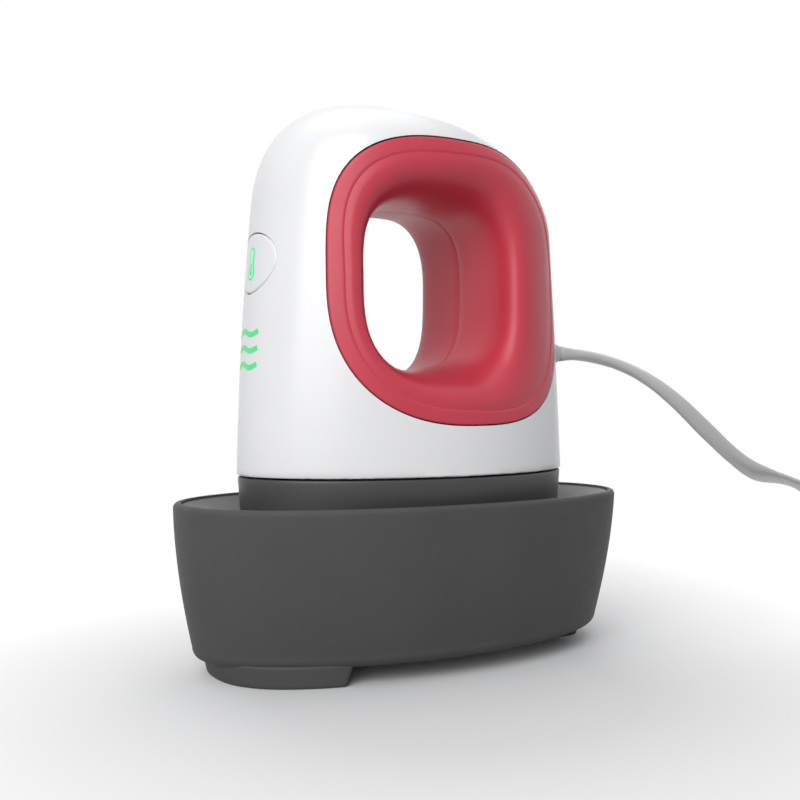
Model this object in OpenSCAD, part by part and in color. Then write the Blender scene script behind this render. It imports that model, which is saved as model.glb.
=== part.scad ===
// Mini handheld heat press: a D-handled press that rests in a boat-shaped safety base.
// Millimetres. +Z is up, the nose with the button faces -X, and the cord leaves towards +X.
// The origin lies on the table under the middle of the base.

/* [Base] */
// Room between each end of the body and the base's rim
rim_end_room = 15.2; // [13.5:0.1:18]
// Room between each side of the body and the base's rim
rim_side_room = 5; // [4.6:0.1:8]
// Roundness of the rim's outline, where 2 is an ellipse
rim_round = 2.25; // [2.1:0.05:2.6]
// Roundness of the bottom edge's outline
bottom_round = 1.95; // [1.85:0.05:2.2]
// Height of the rim above the table
rim_height = 39.5; // [38:0.5:43]
// How far the sides draw in between the rim and the bottom corner
side_draw_in = 3.8; // [3:0.1:5]
// How far the bottom corner rounds in
corner_in = 2.4; // [1.6:0.1:3]
// Height of the bottom corner's rounding
corner_height = 2.6; // [1.8:0.1:3.6]
// Radius of the rim's outer edge
lip_radius = 1.2; // [0.8:0.1:1.5]
// Wall of the base's shell
base_wall = 1.8; // [1.6:0.1:2.4]
// Floor of the base's shell
base_floor = 2; // [1.6:0.1:3]
// Height of the feet
foot_height = 4.2; // [3:0.1:6]
// How far the feet's outline lies in from the rim's ends
foot_end_inset = 8.2; // [7.8:0.1:11]
// How far the feet's outline lies in from the rim's sides
foot_side_inset = 7; // [6.6:0.1:10]
// Length of the front foot
front_foot_length = 22.8; // [18:0.1:26]
// Draft of the feet's sides
foot_draft = 1.2; // [0.4:0.1:1.6]
// Half length of the rear foot
rear_foot_half_length = 6.3; // [4:0.1:8]
// Half width of the rear foot
rear_foot_half_width = 6.8; // [4:0.1:12]

/* [Tray] */
// Gap line between the rim and the tray
tray_gap = 0.25; // [0.2:0.05:0.5]
// How far the tray's edge lies below the rim
tray_drop = 0.5; // [0.3:0.1:1]
// How far the dish falls from its edge to the well
dish_depth = 5; // [3:0.5:7]
// Thickness of the tray
tray_wall = 1.6; // [1.2:0.1:2]
// Height of the well's floor above the table
well_floor = 10; // [9:0.5:10.5]
// Clearance between the skirt and the well
well_gap = 1; // [0.6:0.1:1.4]
// Radius of the silicone pads that the hot plate rests on
pad_radius = 4; // [3:0.5:5]
// Place of the pads along and across the well
pad_place = [25, 9]; // [8:1:26]
// Place of the base's screws along and across the base
base_screw_place = [20, 12]; // [8:1:24]

/* [Body] */
// Height of the seam between the white shell and the skirt
seam_height = 45.5; // [44.5:0.5:49]
// Height of the top of the handle
body_top = 132.6; // [131:0.1:137]
// Reach of the nose at the seam
nose_reach = 44.8; // [44:0.1:47]
// Reach of the tail at the seam
tail_reach = 43.8; // [43:0.1:46]
// How far the nose leans back from the seam to the top
nose_lean = 6.8; // [5.8:0.1:7.4]
// How far the tail leans in from the seam to the top
tail_lean = 7.3; // [6.4:0.1:7.8]
// How far the nose bows out halfway up
nose_bulge = 1.2; // [0.4:0.1:1.6]
// How far the tail bows out halfway up
tail_bulge = 0.4; // [0:0.1:1]
// Length and height of the rounding from the nose to the top
nose_corner = [17.5, 24]; // [15:0.5:26]
// Roundness of that rounding, where 2 is an ellipse
nose_corner_round = 2.2; // [2:0.05:2.4]
// Length and height of the rounding from the tail to the top
tail_corner = [45, 28.5]; // [27:0.5:46]
// Half width of the body at the seam
body_half_width = 26.5; // [26:0.5:28]
// How far each side leans in from the seam to the top
side_lean = 1.6; // [1:0.1:2.4]
// Height over which the sides close into the crown
crown_height = 14.8; // [13:0.1:16]
// Roundness of the crown
crown_round = 2.5; // [2.2:0.1:3]
// Roundness of the body's outline at the seam
seam_round = 1.92; // [1.85:0.01:2]
// Roundness of the body's outline at the top
top_round = 2.16; // [2.05:0.01:2.3]
// Wall of the white shell
shell_wall = 2.2; // [1.8:0.1:2.6]
// Shadow gap between the white shell and the skirt
seam_gap = 0.4; // [0.3:0.1:0.8]

/* [Grip] */
// Middle of the grip liners' outline along the body and in height
grip_middle = [2.5, 90]; // [1:0.5:92]
// Reach of the liners' outline to the front, rear, top and bottom
grip_reach = [34, 34, 33, 32.7]; // [31.5:0.1:34.5]
// Roundness of the outline's upper front, upper rear, lower rear and lower front
grip_round = [3.6, 2.5, 2.85, 2.5]; // [2.2:0.05:4]
// Flat band along the liners' edge
band_width = 3.6; // [2.5:0.1:4.5]
// Middle of the throat along the body and in height
throat_middle = [-2.6, 89.9]; // [-3:0.1:91]
// Half length and half height of the throat at the parting line
throat_half = [17.8, 19.6]; // [16:0.1:20]
// Roundness of the throat
throat_round = 3.2; // [2.6:0.1:3.6]
// Squareness of the roll into the throat at its front, rear, top and bottom, where 2 is an ellipse
roll_round = [2.6, 6.4, 2.7, 2.7]; // [2:0.1:7]
// Wall of the liners
liner_wall = 2; // [1.6:0.1:2.4]
// Gap line round the liners
liner_gap = 0.3; // [0.2:0.05:0.5]
// Reach of the liners' flange behind the shell, to the front, rear, top and bottom
flange_reach = [2, 0.2, 2, 2]; // [0.2:0.1:2.4]
// Thickness of the liners' flange
flange_wall = 1.2; // [1:0.1:1.6]
// Play between the liners' flange and the inside of the shell
flange_play = 0.7; // [0.6:0.05:0.9]
// Gap between the two liners at the parting line
parting_gap = 0.1; // [0.06:0.02:0.3]
// Half width and height of the lugs that the liner screws go through
lug_size = [3, 6]; // [2.6:0.1:6.4]

/* [Button] */
// Half width of the button
button_half_width = 8.7; // [6:0.1:9]
// Height of the button's widest place
button_middle = 94.8; // [93:0.1:97]
// Reach of the button above and below its widest place
button_reach = [6.5, 7.2]; // [5:0.1:9]
// Gap line round the button
button_gap = 0.2; // [0.15:0.05:0.4]
// Height of the button's flange behind the shell
button_flange = 1; // [0.8:0.1:1.2]
// Play between the button's flange and the inside of the shell
button_play = 0.6; // [0.5:0.05:0.8]
// Travel of the button
button_travel = 0.5; // [0.3:0.1:0.6]
// Radius of the switch's plunger
plunger_radius = 1.7; // [1.3:0.1:2]
// Width and depth of the switch's body
switch_size = [6, 3.6]; // [3:0.2:7]
// Front face of the control board, measured from the middle of the base
board_front = 33; // [32:0.2:34]
// Half width of the control board
board_half_width = 9; // [7:0.5:10]
// Heights of the control board's screws
board_screw_heights = [66, 106]; // [65:0.5:107]
// How far the control board reaches beyond its screws
board_margin = 4; // [3.4:0.1:4.5]
// Height of the ribbon lead's bend above the power board
ribbon_bend = 18; // [12:0.5:19]
// Height of the ribbon lead's end above the control board's lower screw
ribbon_end = 8; // [6:0.5:10]
// Heights of the three light bars
light_heights = [70.9, 74.6, 78.4]; // [70:0.1:80]
// Half width of the light bars
light_half_width = 5.3; // [4:0.1:6]

/* [Hot end] */
// Half length of the hot plate
plate_half_length = 41.5; // [40:0.5:42.5]
// Half width of the hot plate
plate_half_width = 22.5; // [22:0.1:22.8]
// Roundness of the hot plate's outline
plate_round = 2; // [1.95:0.01:2.05]
// Height of the hot plate's working face above the table, at rest in the base
plate_face = 12; // [11.5:0.1:12.5]
// Thickness of the hot plate's rim
plate_rim = 3.7; // [3:0.1:4.5]
// Thickness of the hot plate
plate_thickness = 6; // [5.4:0.1:7]
// Radius of the heating element's sheath
element_radius = 2.4; // [2:0.1:2.6]
// Half distance between the element's two legs
element_half_gap = 8; // [7.6:0.1:8.4]
// Front and rear ends of the element's legs
element_legs = [-20, 28]; // [-22:1:30]
// Places along the plate of the two middle bosses that the clamp plate is screwed to
plate_boss_x = [-12, 16]; // [-14:1:18]
// Place across the plate of the two side bosses
plate_boss_y = 14; // [13.6:0.1:14.4]
// Radius of those bosses
plate_boss_radius = 2.5; // [2.2:0.1:2.6]
// Half length of the clamp plate over the element
clamp_half_length = 22; // [20:0.5:23]
// Thickness of the clamp plate over the element
clamp_wall = 1.2; // [0.8:0.1:1.6]
// Thickness of the insulation mat
mat_thickness = 4.5; // [3.8:0.1:4.6]
// How far the mat and the shield lie in from the hot plate's outline, along and across
mat_inset = [4.5, 3.6]; // [3.4:0.1:5]
// Thickness of the steel heat shield
shield_wall = 0.6; // [0.4:0.1:0.8]
// Place of the standoffs that hang the hot plate, along and across
standoff_place = [16, 15]; // [14:0.5:17]
// Radius of the standoffs
standoff_radius = 2.4; // [2:0.1:2.6]

/* [Skirt] */
// Wall of the skirt
skirt_wall = 2; // [1.6:0.1:2.2]
// How far the skirt's foot stands out over the hot plate
skirt_cover = 0.8; // [0.4:0.1:1]
// Gap between the hot plate's rim and the skirt
skirt_lift = 0.3; // [0.2:0.1:0.6]
// How strongly the skirt flares towards the seam
skirt_flare = 1.3; // [1.1:0.1:1.5]
// Height of the bulkhead's underside
bulkhead_height = 29; // [28.8:0.1:30]
// Thickness of the bulkhead
bulkhead_wall = 2; // [1.6:0.1:3]
// Place of the body screws along and across the body
post_place = [26.5, 12.5]; // [12:0.5:27]
// Radius of the posts and bosses round the body screws
post_radius = 3.6; // [3:0.1:3.8]
// Height of the shell's screw bosses
boss_height = 14; // [10:0.5:14]
// Height of the power board's posts
board_post_height = 5; // [4:0.5:6]
// Length and width of the power board
power_board_size = [44, 26]; // [24:1:45]
// Place of the power board's screws
power_screw_place = [18.5, 9.5]; // [8:0.5:19]
// Thickness of both circuit boards
circuit_wall = 1.6; // [1.2:0.1:2]

/* [Cord] */
// Diameter of the cord
cord_diameter = 4.3; // [4:0.1:4.6]
// Height at which the cord leaves the tail
cord_height = 75.5; // [74:0.5:77]
// Where the strain relief ends, measured from the middle of the base
relief_end = 46.5; // [46:0.5:46.5]
// Length of the strain relief
relief_length = 20.5; // [20:0.5:21]
// Room between the throat's wall and the cord's inner leads
lead_room = 1.4; // [1.2:0.1:1.6]
// Radius of the strain relief's collar inside the wall
relief_collar = 4.3; // [4:0.1:5]
// Radius of the strain relief's neck in the wall
relief_neck = 3.3; // [3:0.1:3.6]
// Radius of the strain relief's outer end
relief_tip = 2.6; // [2.5:0.1:3]
// Turns of the coil in each of its four layers
coil_layer_turns = 2.354; // [2:0.001:2.6]
// Inner radius of the coil, at the cord's middle
coil_inner_radius = 19.6; // [18.6:0.1:20]
// Distance between the middles of neighbouring turns and layers
coil_pitch = 4.8; // [4.75:0.01:5.4]
// Thickness of the strap that ties the coil
tie_wall = 0.9; // [0.7:0.1:1.2]
// Width of the strap
tie_width = 6; // [4:0.5:8]
// Length of the plug's body
plug_length = 32; // [28:1:36]
// Half width and half height of the plug's body
plug_half = [11, 7]; // [6:0.5:13]
// Distance between the plug's blades
blade_spacing = 12.7; // [12:0.1:13]
// Thickness, width and length of a blade
blade_size = [1.5, 6.3, 17]; // [1.5:0.1:18]

/* [Hidden] */
$fn = 48;
SIDES = 48;
PIN_SIDES = 24;
TOUCH = 0.6;
PLAY = 0.1;

// ---- plain shapes -------------------------------------------------------------------------

function clamp01(v) = min(max(v, 0), 1);
function power(v, p) = sign(v) * pow(abs(v), p);
// A quarter of a rounded corner: 1 at t = 0 and 0 at t = 1
function corner(t, n = 2) = pow(1 - pow(clamp01(t), n), 1 / n);
// One point of a rounded outline with half sizes a and b and roundness n
function oval_point(t, a, b, n) = [a * power(cos(t), 2 / n), b * power(sin(t), 2 / n)];
function oval(a, b, n, z, x = 0, count = SIDES) =
    [for (i = [0:count - 1]) let (p = oval_point(360 * i / count, a, b, n)) [x + p[0], p[1], z]];

// A solid through rings of points: capped at both ends, or joined end to end
module loft(rings, joined = false) {
    count = len(rings[0]);
    steps = joined ? len(rings) : len(rings) - 1;
    function at(r, i) = (r % len(rings)) * count + i % count;
    quads = [for (r = [0:steps - 1], i = [0:count - 1], half = [0, 1])
        half == 0
            ? [at(r, i), at(r + 1, i), at(r + 1, i + 1)]
            : [at(r, i), at(r + 1, i + 1), at(r, i + 1)]];
    last = (len(rings) - 1) * count;
    caps = joined ? [] : concat(
        [for (i = [1:count - 2]) [0, i, i + 1]],
        [for (i = [1:count - 2]) [last, last + i + 1, last + i]]);
    polyhedron(points = [for (ring = rings, p = ring) p], faces = concat(quads, caps));
}

// A cylinder along +X
module rod_x(r, from, to, y = 0, z = 0, sides = PIN_SIDES) {
    translate([from, y, z]) rotate([0, 90, 0]) cylinder(r = r, h = to - from, $fn = sides);
}

// A pan-head screw that points down from the underside of its head
module screw(r, length, head_r, head_h) {
    translate([0, 0, -length]) cylinder(r = r, h = length, $fn = PIN_SIDES);
    difference() {
        cylinder(r = head_r, h = head_h, $fn = PIN_SIDES);
        translate([0, 0, head_h / 2]) cylinder(r = head_r / 2.2, h = head_h, $fn = 6);
    }
}

module four(place) {
    for (sx = [-1, 1], sy = [-1, 1]) translate([sx * place[0], sy * place[1], 0]) children();
}

// ---- base ---------------------------------------------------------------------------------

body_middle = (tail_reach - nose_reach) / 2;
body_half_length = (tail_reach + nose_reach) / 2;
rim_half_length = body_half_length + rim_end_room;
rim_half_width = body_half_width + rim_side_room;
foot_half_length = rim_half_length - foot_end_inset;
foot_half_width = rim_half_width - foot_side_inset;
front_foot_end = foot_half_length - front_foot_length;
base_bottom = foot_height;
edge_height = rim_height - lip_radius;
corner_top = base_bottom + corner_height;
big_clear = 1.7;
big_shank = 1.25;
small_clear = 1.2;
small_shank = 0.9;
head_radius = 2.8;
head_height = 1.8;
small_head_radius = 1.8;
small_head_height = 1.2;

// How far the base's outside lies inside its rim at a height
function base_inset(z) =
    side_draw_in * pow(clamp01((edge_height - z) / (edge_height - corner_top)), 1.8)
    + corner_in * (1 - corner((corner_top - z) / corner_height));
function base_roundness(z) =
    bottom_round + (rim_round - bottom_round) * clamp01((z - base_bottom) / (rim_height - base_bottom));
function base_ring(inset, z) =
    oval(rim_half_length - inset, rim_half_width - inset, base_roundness(z), z);

module base_outer_shell() {
    floor_top = base_bottom + base_floor;
    inner_low = max(corner_top, floor_top + 0.2);
    outside = [
        for (a = [0, 35, 65]) let (z = corner_top - corner_height * cos(a)) base_ring(base_inset(z), z),
        for (k = [0:7]) let (z = corner_top + (edge_height - corner_top) * k / 7)
            base_ring(base_inset(z), z)];
    lip = [for (a = [30, 60, 90])
        base_ring(lip_radius * (1 - cos(a)), edge_height + lip_radius * sin(a))];
    inside = [
        base_ring(base_wall, rim_height),
        for (k = [4:-1:0]) let (z = inner_low + (edge_height - inner_low) * k / 4)
            base_ring(base_inset(z) + base_wall, z),
        base_ring(base_inset(inner_low) + base_wall + 1, floor_top)];
    color([0.29, 0.29, 0.3]) difference() {
        loft(concat(outside, lip, inside));
        four(base_screw_place)
            translate([0, 0, base_bottom - 1])
                cylinder(r = big_clear, h = base_floor + 2, $fn = PIN_SIDES);
    }
}

// The skirt's outside runs from the hot plate's cover up to the seam
skirt_foot = plate_face + plate_rim + skirt_lift;
skirt_top = seam_height - seam_gap;
skirt_step = 0.2;
function skirt_rise(z) = pow(clamp01((z - skirt_foot) / (seam_height - skirt_foot)), skirt_flare);
function skirt_half(z) = let (s = skirt_rise(z), foot = skirt_cover) [
    (plate_half_length + foot) * (1 - s) + (body_half_length - skirt_step) * s,
    (plate_half_width + foot) * (1 - s) + (body_half_width - skirt_step) * s];
function skirt_ring(inset, z) = let (h = skirt_half(z), s = skirt_rise(z))
    oval(h[0] - inset, h[1] - inset, plate_round + (seam_round - plate_round) * s, z, body_middle);

tray_edge = rim_height - tray_drop;
well_brim = tray_edge - dish_depth;
tray_rim_inset = base_wall + tray_gap;

// The tray's face at a share of the way from its edge to the well's brim
function dish_ring(share, drop) =
    let (outer = base_ring(tray_rim_inset + drop / 2, tray_edge),
        inner = skirt_ring(-well_gap - 1.2, well_brim),
        fall = dish_depth * (0.55 * share + 0.45 * share * share))
    [for (i = [0:SIDES - 1]) [
        outer[i][0] + (inner[i][0] - outer[i][0]) * share,
        outer[i][1] + (inner[i][1] - outer[i][1]) * share,
        tray_edge - fall - drop]];

module base_inner_tray() {
    brim_in = skirt_ring(-well_gap - tray_wall - 1.2, well_brim - tray_wall);
    under = [
        skirt_ring(-well_gap, well_floor - tray_wall),
        skirt_ring(-well_gap - tray_wall, well_floor),
        skirt_ring(-well_gap - tray_wall, well_brim - tray_wall - 1.2),
        for (k = [3:-1:0]) dish_ring(k * 0.3, tray_wall)];
    face = [
        for (k = [0:5]) dish_ring(k / 5, 0),
        skirt_ring(-well_gap - 0.4, well_brim - 0.6),
        skirt_ring(-well_gap, well_brim - 1.8),
        skirt_ring(-well_gap, (well_brim + well_floor) / 2),
        skirt_ring(-well_gap, well_floor + 0.8),
        skirt_ring(-well_gap + 0.8, well_floor)];
    floor_top = base_bottom + base_floor;
    color([0.27, 0.27, 0.28]) difference() {
        union() {
            loft(concat(under, face));
            four(base_screw_place) translate([0, 0, floor_top])
                cylinder(r = post_radius, h = well_floor - tray_wall / 2 - floor_top, $fn = PIN_SIDES);
        }
        four(base_screw_place) translate([0, 0, floor_top - 1])
            cylinder(r = big_shank, h = well_floor - floor_top - tray_wall / 2 + 1, $fn = PIN_SIDES);
    }
}

module base_screws() {
    reach = well_floor - tray_wall - base_bottom;
    color("silver") four(base_screw_place)
        translate([0, 0, base_bottom]) rotate([180, 0, 0])
            screw(big_shank, reach, head_radius, head_height);
}

module rest_pads() {
    color([0.12, 0.12, 0.12]) translate([body_middle, 0, well_floor])
        four(pad_place) cylinder(r = pad_radius, h = plate_face - PLAY - well_floor, $fn = PIN_SIDES);
}

foot_round = 2.5;
module front_foot() {
    top = foot_draft * 0.9;
    color([0.27, 0.27, 0.28]) intersection() {
        loft([
            oval(foot_half_length - 0.3, foot_half_width - 0.3, foot_round, 0),
            oval(foot_half_length, foot_half_width, foot_round, 0.3),
            oval(foot_half_length + top, foot_half_width + top / 3, foot_round, foot_height)]);
        rotate([90, 0, 0]) translate([0, 0, -rim_half_width])
            linear_extrude(height = 2 * rim_half_width) polygon([
                [-rim_half_length, -1],
                [-front_foot_end - foot_draft / foot_height, -1],
                [-front_foot_end + foot_draft, foot_height + 1],
                [-rim_half_length, foot_height + 1]]);
    }
}

module rear_foot() {
    place = foot_half_length - rear_foot_half_length - 0.3;
    color([0.27, 0.27, 0.28]) loft([
        oval(rear_foot_half_length - 0.3, rear_foot_half_width - 0.3, foot_round, 0, place, PIN_SIDES),
        oval(rear_foot_half_length, rear_foot_half_width, foot_round, 0.3, place, PIN_SIDES),
        oval(rear_foot_half_length + foot_draft / 2, rear_foot_half_width + foot_draft / 2, foot_round,
            foot_height, place, PIN_SIDES)]);
}

// ---- white body ---------------------------------------------------------------------------

// The body's outline at a height, drawn in by a wall: front, rear, half width and roundness
function lean(z) = (z - seam_height) / (body_top - seam_height);
function body_at(z, in = 0) = let (
    top = body_top - in,
    bow = 4 * lean(z) * (1 - lean(z)),
    front = -nose_reach + in + nose_lean * lean(z) - nose_bulge * bow
        + nose_corner[0] * (1 - corner((z - top + nose_corner[1]) / nose_corner[1], nose_corner_round)),
    rear = tail_reach - in - tail_lean * lean(z) + tail_bulge * bow
        - tail_corner[0] * (1 - corner((z - top + tail_corner[1]) / tail_corner[1])),
    half = (body_half_width - in - side_lean * lean(z))
        * corner((z - top + crown_height) / crown_height, crown_round),
    n = seam_round + (top_round - seam_round) * lean(z))
    [(front + rear) / 2, (rear - front) / 2, half, n];
function body_ring(z, in, count = SIDES) = let (b = body_at(z, in))
    oval(b[1], b[2], b[3], z, b[0], count);
// Half width of the body over a point of its side
function side_at(x, z, in = 0) = let (b = body_at(z, in))
    b[2] * pow(max(0, 1 - pow(abs(x - b[0]) / b[1], b[3])), 1 / b[3]);
// Place of the nose over a point of its front
function nose_at(y, z, in = 0) = let (b = body_at(z, in))
    b[0] - b[1] * pow(max(0, 1 - pow(abs(y) / b[2], b[3])), 1 / b[3]);

module body_solid(low, in, levels, count) {
    top = body_top - in;
    loft([for (k = [0:levels]) let (z = low + (top - low) * sin(88 * k / levels))
        body_ring(z, in, count)]);
}

// The liners' outline and the throat, as points of the XZ plane at a turn t
function grip_quarter(t) = sin(t) >= 0 ? (cos(t) >= 0 ? 1 : 0) : (cos(t) >= 0 ? 2 : 3);
function grip_edge(t, grow = [0, 0, 0, 0]) = let (
    n = grip_round[grip_quarter(t)],
    side = cos(t) >= 0 ? 1 : 0,
    way = sin(t) >= 0 ? 2 : 3)
    grip_middle + oval_point(t, grip_reach[side] + grow[side], grip_reach[way] + grow[way], n);
function throat_edge(t, grow = 0) =
    throat_middle + oval_point(t, throat_half[0] + grow, throat_half[1] + grow, throat_round);
GRIP_SIDES = 56;
grip_outline = [for (i = [0:GRIP_SIDES - 1])
    grip_edge(360 * i / GRIP_SIDES, [liner_gap, liner_gap, liner_gap, liner_gap])];

boss_bottom = seam_height;
// A rib on the outer side of each boss joins it to the shell's wall
rib_reach = side_at(post_place[0], seam_height, shell_wall) + TOUCH - post_place[1];
rib_wall = 1.6;

// The button's outline as points of the YZ plane
function pick_edge(t, grow = 0) = [0, button_middle] + oval_point(t, button_half_width + grow,
    button_reach[sin(t) >= 0 ? 0 : 1] + grow, sin(t) >= 0 ? 2.1 : 1.8);

module outer_shell() {
    color([0.95, 0.95, 0.95]) difference() {
        union() {
            difference() {
                body_solid(seam_height, 0, 15, SIDES);
                body_solid(seam_height - 1, shell_wall, 18, SIDES);
            }
            translate([body_middle, 0, boss_bottom])
                for (sx = [-1, 1], sy = [-1, 1]) translate([sx * post_place[0], sy * post_place[1], 0]) {
                    cylinder(r = post_radius, h = boss_height, $fn = PIN_SIDES);
                    translate([-rib_wall / 2, sy > 0 ? post_radius - TOUCH : -rib_reach, 0])
                        cube([rib_wall, rib_reach - post_radius + TOUCH, boss_height]);
                }
            for (z = board_screw_heights)
                rod_x(2.5, nose_at(0, z, shell_wall) - TOUCH, -board_front, 0, z);
        }
        rotate([90, 0, 0]) translate([0, 0, -2 * body_half_width])
            linear_extrude(height = 4 * body_half_width) polygon(grip_outline);
        rotate([90, 0, 90]) translate([0, 0, -2 * nose_reach])
            linear_extrude(height = 2 * nose_reach - board_front - 2)
                polygon([for (i = [0:35]) pick_edge(10 * i, button_gap)]);
        translate([body_middle, 0, boss_bottom - 1])
            four(post_place) cylinder(r = big_shank, h = boss_height, $fn = PIN_SIDES);
        for (z = board_screw_heights) rod_x(0.9, -board_front - 4, -board_front + 1, 0, z);
        rod_x(relief_neck + PLAY / 2, tail_reach / 2, 2 * tail_reach, 0, cord_height);
    }
}

// ---- grip liners --------------------------------------------------------------------------

ROLL_STEPS = 8;
half_gap = parting_gap / 2;
// Inner edge of the band, which runs straight towards the throat
function band_edge(t) = let (o = grip_edge(t), d = throat_edge(t) - o) o + d / norm(d) * band_width;
// A point of the roll: the share u of the way to the throat and the share g of the depth left
function roll_at(t) = pow(cos(t), 2) * roll_round[cos(t) >= 0 ? 1 : 0]
    + pow(sin(t), 2) * roll_round[sin(t) >= 0 ? 2 : 3];
function roll_point(t, angle, in) = let (
    u = pow(sin(angle), 2 / roll_at(t)),
    g = pow(cos(angle), 2 / roll_at(t)),
    b = band_edge(t),
    p = b + (throat_edge(t, in) - b) * u,
    deep = max(side_at(p[0], p[1]) - in, half_gap))
    [p[0], half_gap + (deep - half_gap) * g, p[1]];
// One cross-section of a liner, from its outer edge through the roll and back behind it
function liner_section(t) = let (
    o = grip_edge(t),
    b = band_edge(t),
    m = (o + b) / 2,
    f = grip_edge(t, flange_reach),
    seat = side_at(f[0], f[1], shell_wall) - flange_play,
    edge_seat = side_at(o[0], o[1], shell_wall) - flange_play)
    concat(
        [[o[0], side_at(o[0], o[1]), o[1]], [m[0], side_at(m[0], m[1]), m[1]]],
        [for (k = [0:ROLL_STEPS]) roll_point(t, 90 * k / ROLL_STEPS, 0)],
        [for (k = [ROLL_STEPS:-2:0]) roll_point(t, 90 * k / ROLL_STEPS, liner_wall)],
        [[f[0], seat - flange_wall, f[1]], [f[0], seat, f[1]], [o[0], edge_seat, o[1]]]);

// Lugs stand behind the roll at these turns round the throat, a little off the parting line
lug_turns = [45, 135, 250, 290];
lug_root = liner_wall / 2;
lug_lift = 0.15;
function lug_way(t) = let (d = throat_edge(t + 1) - throat_edge(t - 1)) atan2(-d[0], d[1]);
function lug_hole(t) = let (p = throat_edge(t), w = lug_way(t), far = liner_wall + lug_size[0] + 0.4)
    [p[0] + far * cos(w), p[1] + far * sin(w)];

module lug(t) {
    far = liner_wall + 2 * lug_size[0] + 0.4;
    translate([throat_edge(t)[0], half_gap + lug_lift, throat_edge(t)[1]])
        rotate([0, -lug_way(t), 0]) translate([lug_root, 0, -lug_size[0]])
            cube([far - lug_root, lug_size[1] - half_gap - lug_lift, 2 * lug_size[0]]);
}

module liner(turned) {
    mirror([0, turned ? 1 : 0, 0]) difference() {
        union() {
            loft([for (i = [0:GRIP_SIDES - 1]) liner_section(360 * i / GRIP_SIDES)], joined = true);
            for (t = lug_turns) lug(t);
        }
        for (t = lug_turns) translate([lug_hole(t)[0], -1, lug_hole(t)[1]])
            rotate([-90, 0, 0])
                cylinder(r = turned ? big_clear : big_shank, h = lug_size[1] + 2, $fn = PIN_SIDES);
    }
}

module left_grip_liner() {
    color([0.8, 0.2, 0.3]) liner(true);
}

module right_grip_liner() {
    color([0.8, 0.2, 0.3]) liner(false);
}

module liner_screws() {
    color("silver") for (t = lug_turns) translate([lug_hole(t)[0], -lug_size[1], lug_hole(t)[1]])
        rotate([90, 0, 0]) screw(big_shank, 2 * lug_size[1] - 1, head_radius, head_height);
}

// ---- skirt --------------------------------------------------------------------------------

bulkhead_top = bulkhead_height + bulkhead_wall;
power_board_bottom = bulkhead_top + board_post_height;
power_board_top = power_board_bottom + circuit_wall;
plate_top = plate_face + plate_thickness;
clamp_bottom = plate_top + element_radius;
clamp_top = clamp_bottom + clamp_wall;
mat_top = clamp_top + mat_thickness;
shield_top = mat_top + shield_wall;
lead_hole_radius = 1.6;
sensor_x = 6;
terminal_x = element_legs[1];

module in_body() {
    translate([body_middle, 0, 0]) children();
}

module slab(a, b, n, z, h) {
    translate([0, 0, z]) linear_extrude(height = h)
        polygon([for (i = [0:SIDES - 1]) oval_point(360 * i / SIDES, a, b, n)]);
}

module lower_skirt() {
    wall_in = skirt_wall - TOUCH / 2;
    middle = skirt_half(bulkhead_height);
    color([0.28, 0.28, 0.28]) difference() {
        union() {
            loft(concat(
                [skirt_ring(0.5, skirt_foot), skirt_ring(0, skirt_foot + 0.5)],
                [for (k = [1:6]) let (z = skirt_foot + (skirt_top - 0.5 - skirt_foot) * k / 6)
                    skirt_ring(0, z)],
                [skirt_ring(0.4, skirt_top)],
                [for (k = [4:-1:0]) let (z = skirt_foot + (skirt_top - skirt_foot) * k / 4)
                    skirt_ring(skirt_wall, z)],
                [skirt_ring(0.5, skirt_foot)]), joined = true);
            in_body() {
                slab(middle[0] - wall_in, middle[1] - wall_in, plate_round,
                    bulkhead_height, bulkhead_wall);
                translate([0, 0, bulkhead_top - TOUCH]) four(post_place)
                    cylinder(r = post_radius, h = seam_height - bulkhead_top + TOUCH, $fn = PIN_SIDES);
                translate([0, 0, bulkhead_top - TOUCH]) four(power_screw_place) cylinder(
                    r = small_head_radius + 0.6, h = board_post_height + TOUCH, $fn = PIN_SIDES);
            }
        }
        in_body() {
            translate([0, 0, bulkhead_height - 1]) {
                four(post_place) cylinder(r = big_clear, h = seam_height, $fn = PIN_SIDES);
                four(standoff_place) cylinder(r = big_clear, h = bulkhead_wall + 2, $fn = PIN_SIDES);
                translate([sensor_x, 0, 0])
                    cylinder(r = small_clear, h = bulkhead_wall + 2, $fn = PIN_SIDES);
                for (sy = [-1, 1]) translate([terminal_x, sy * element_half_gap, 0])
                    cylinder(r = lead_hole_radius, h = bulkhead_wall + 2, $fn = PIN_SIDES);
            }
            translate([0, 0, bulkhead_top]) four(power_screw_place)
                cylinder(r = small_shank, h = board_post_height + 1, $fn = PIN_SIDES);
        }
    }
}

module skirt_screws() {
    reach = seam_height - bulkhead_height + boss_height - 3;
    color("silver") in_body() translate([0, 0, bulkhead_height])
        four(post_place) rotate([180, 0, 0]) screw(big_shank, reach, head_radius, head_height);
}

// ---- hot end ------------------------------------------------------------------------------

module element_path(r) {
    for (sy = [-1, 1]) {
        rod_x(r, element_legs[0], element_legs[1], sy * element_half_gap, plate_top);
        translate([element_legs[1], sy * element_half_gap, plate_top]) sphere(r = r, $fn = PIN_SIDES);
    }
    translate([element_legs[0], 0, plate_top]) rotate([0, 0, 90])
        rotate_extrude(angle = 180) translate([element_half_gap, 0]) circle(r = r, $fn = PIN_SIDES);
}

module clamp_places() {
    for (x = plate_boss_x) translate([x, 0, 0]) children();
    for (sy = [-1, 1]) translate([2, sy * plate_boss_y, 0]) children();
}

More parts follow.
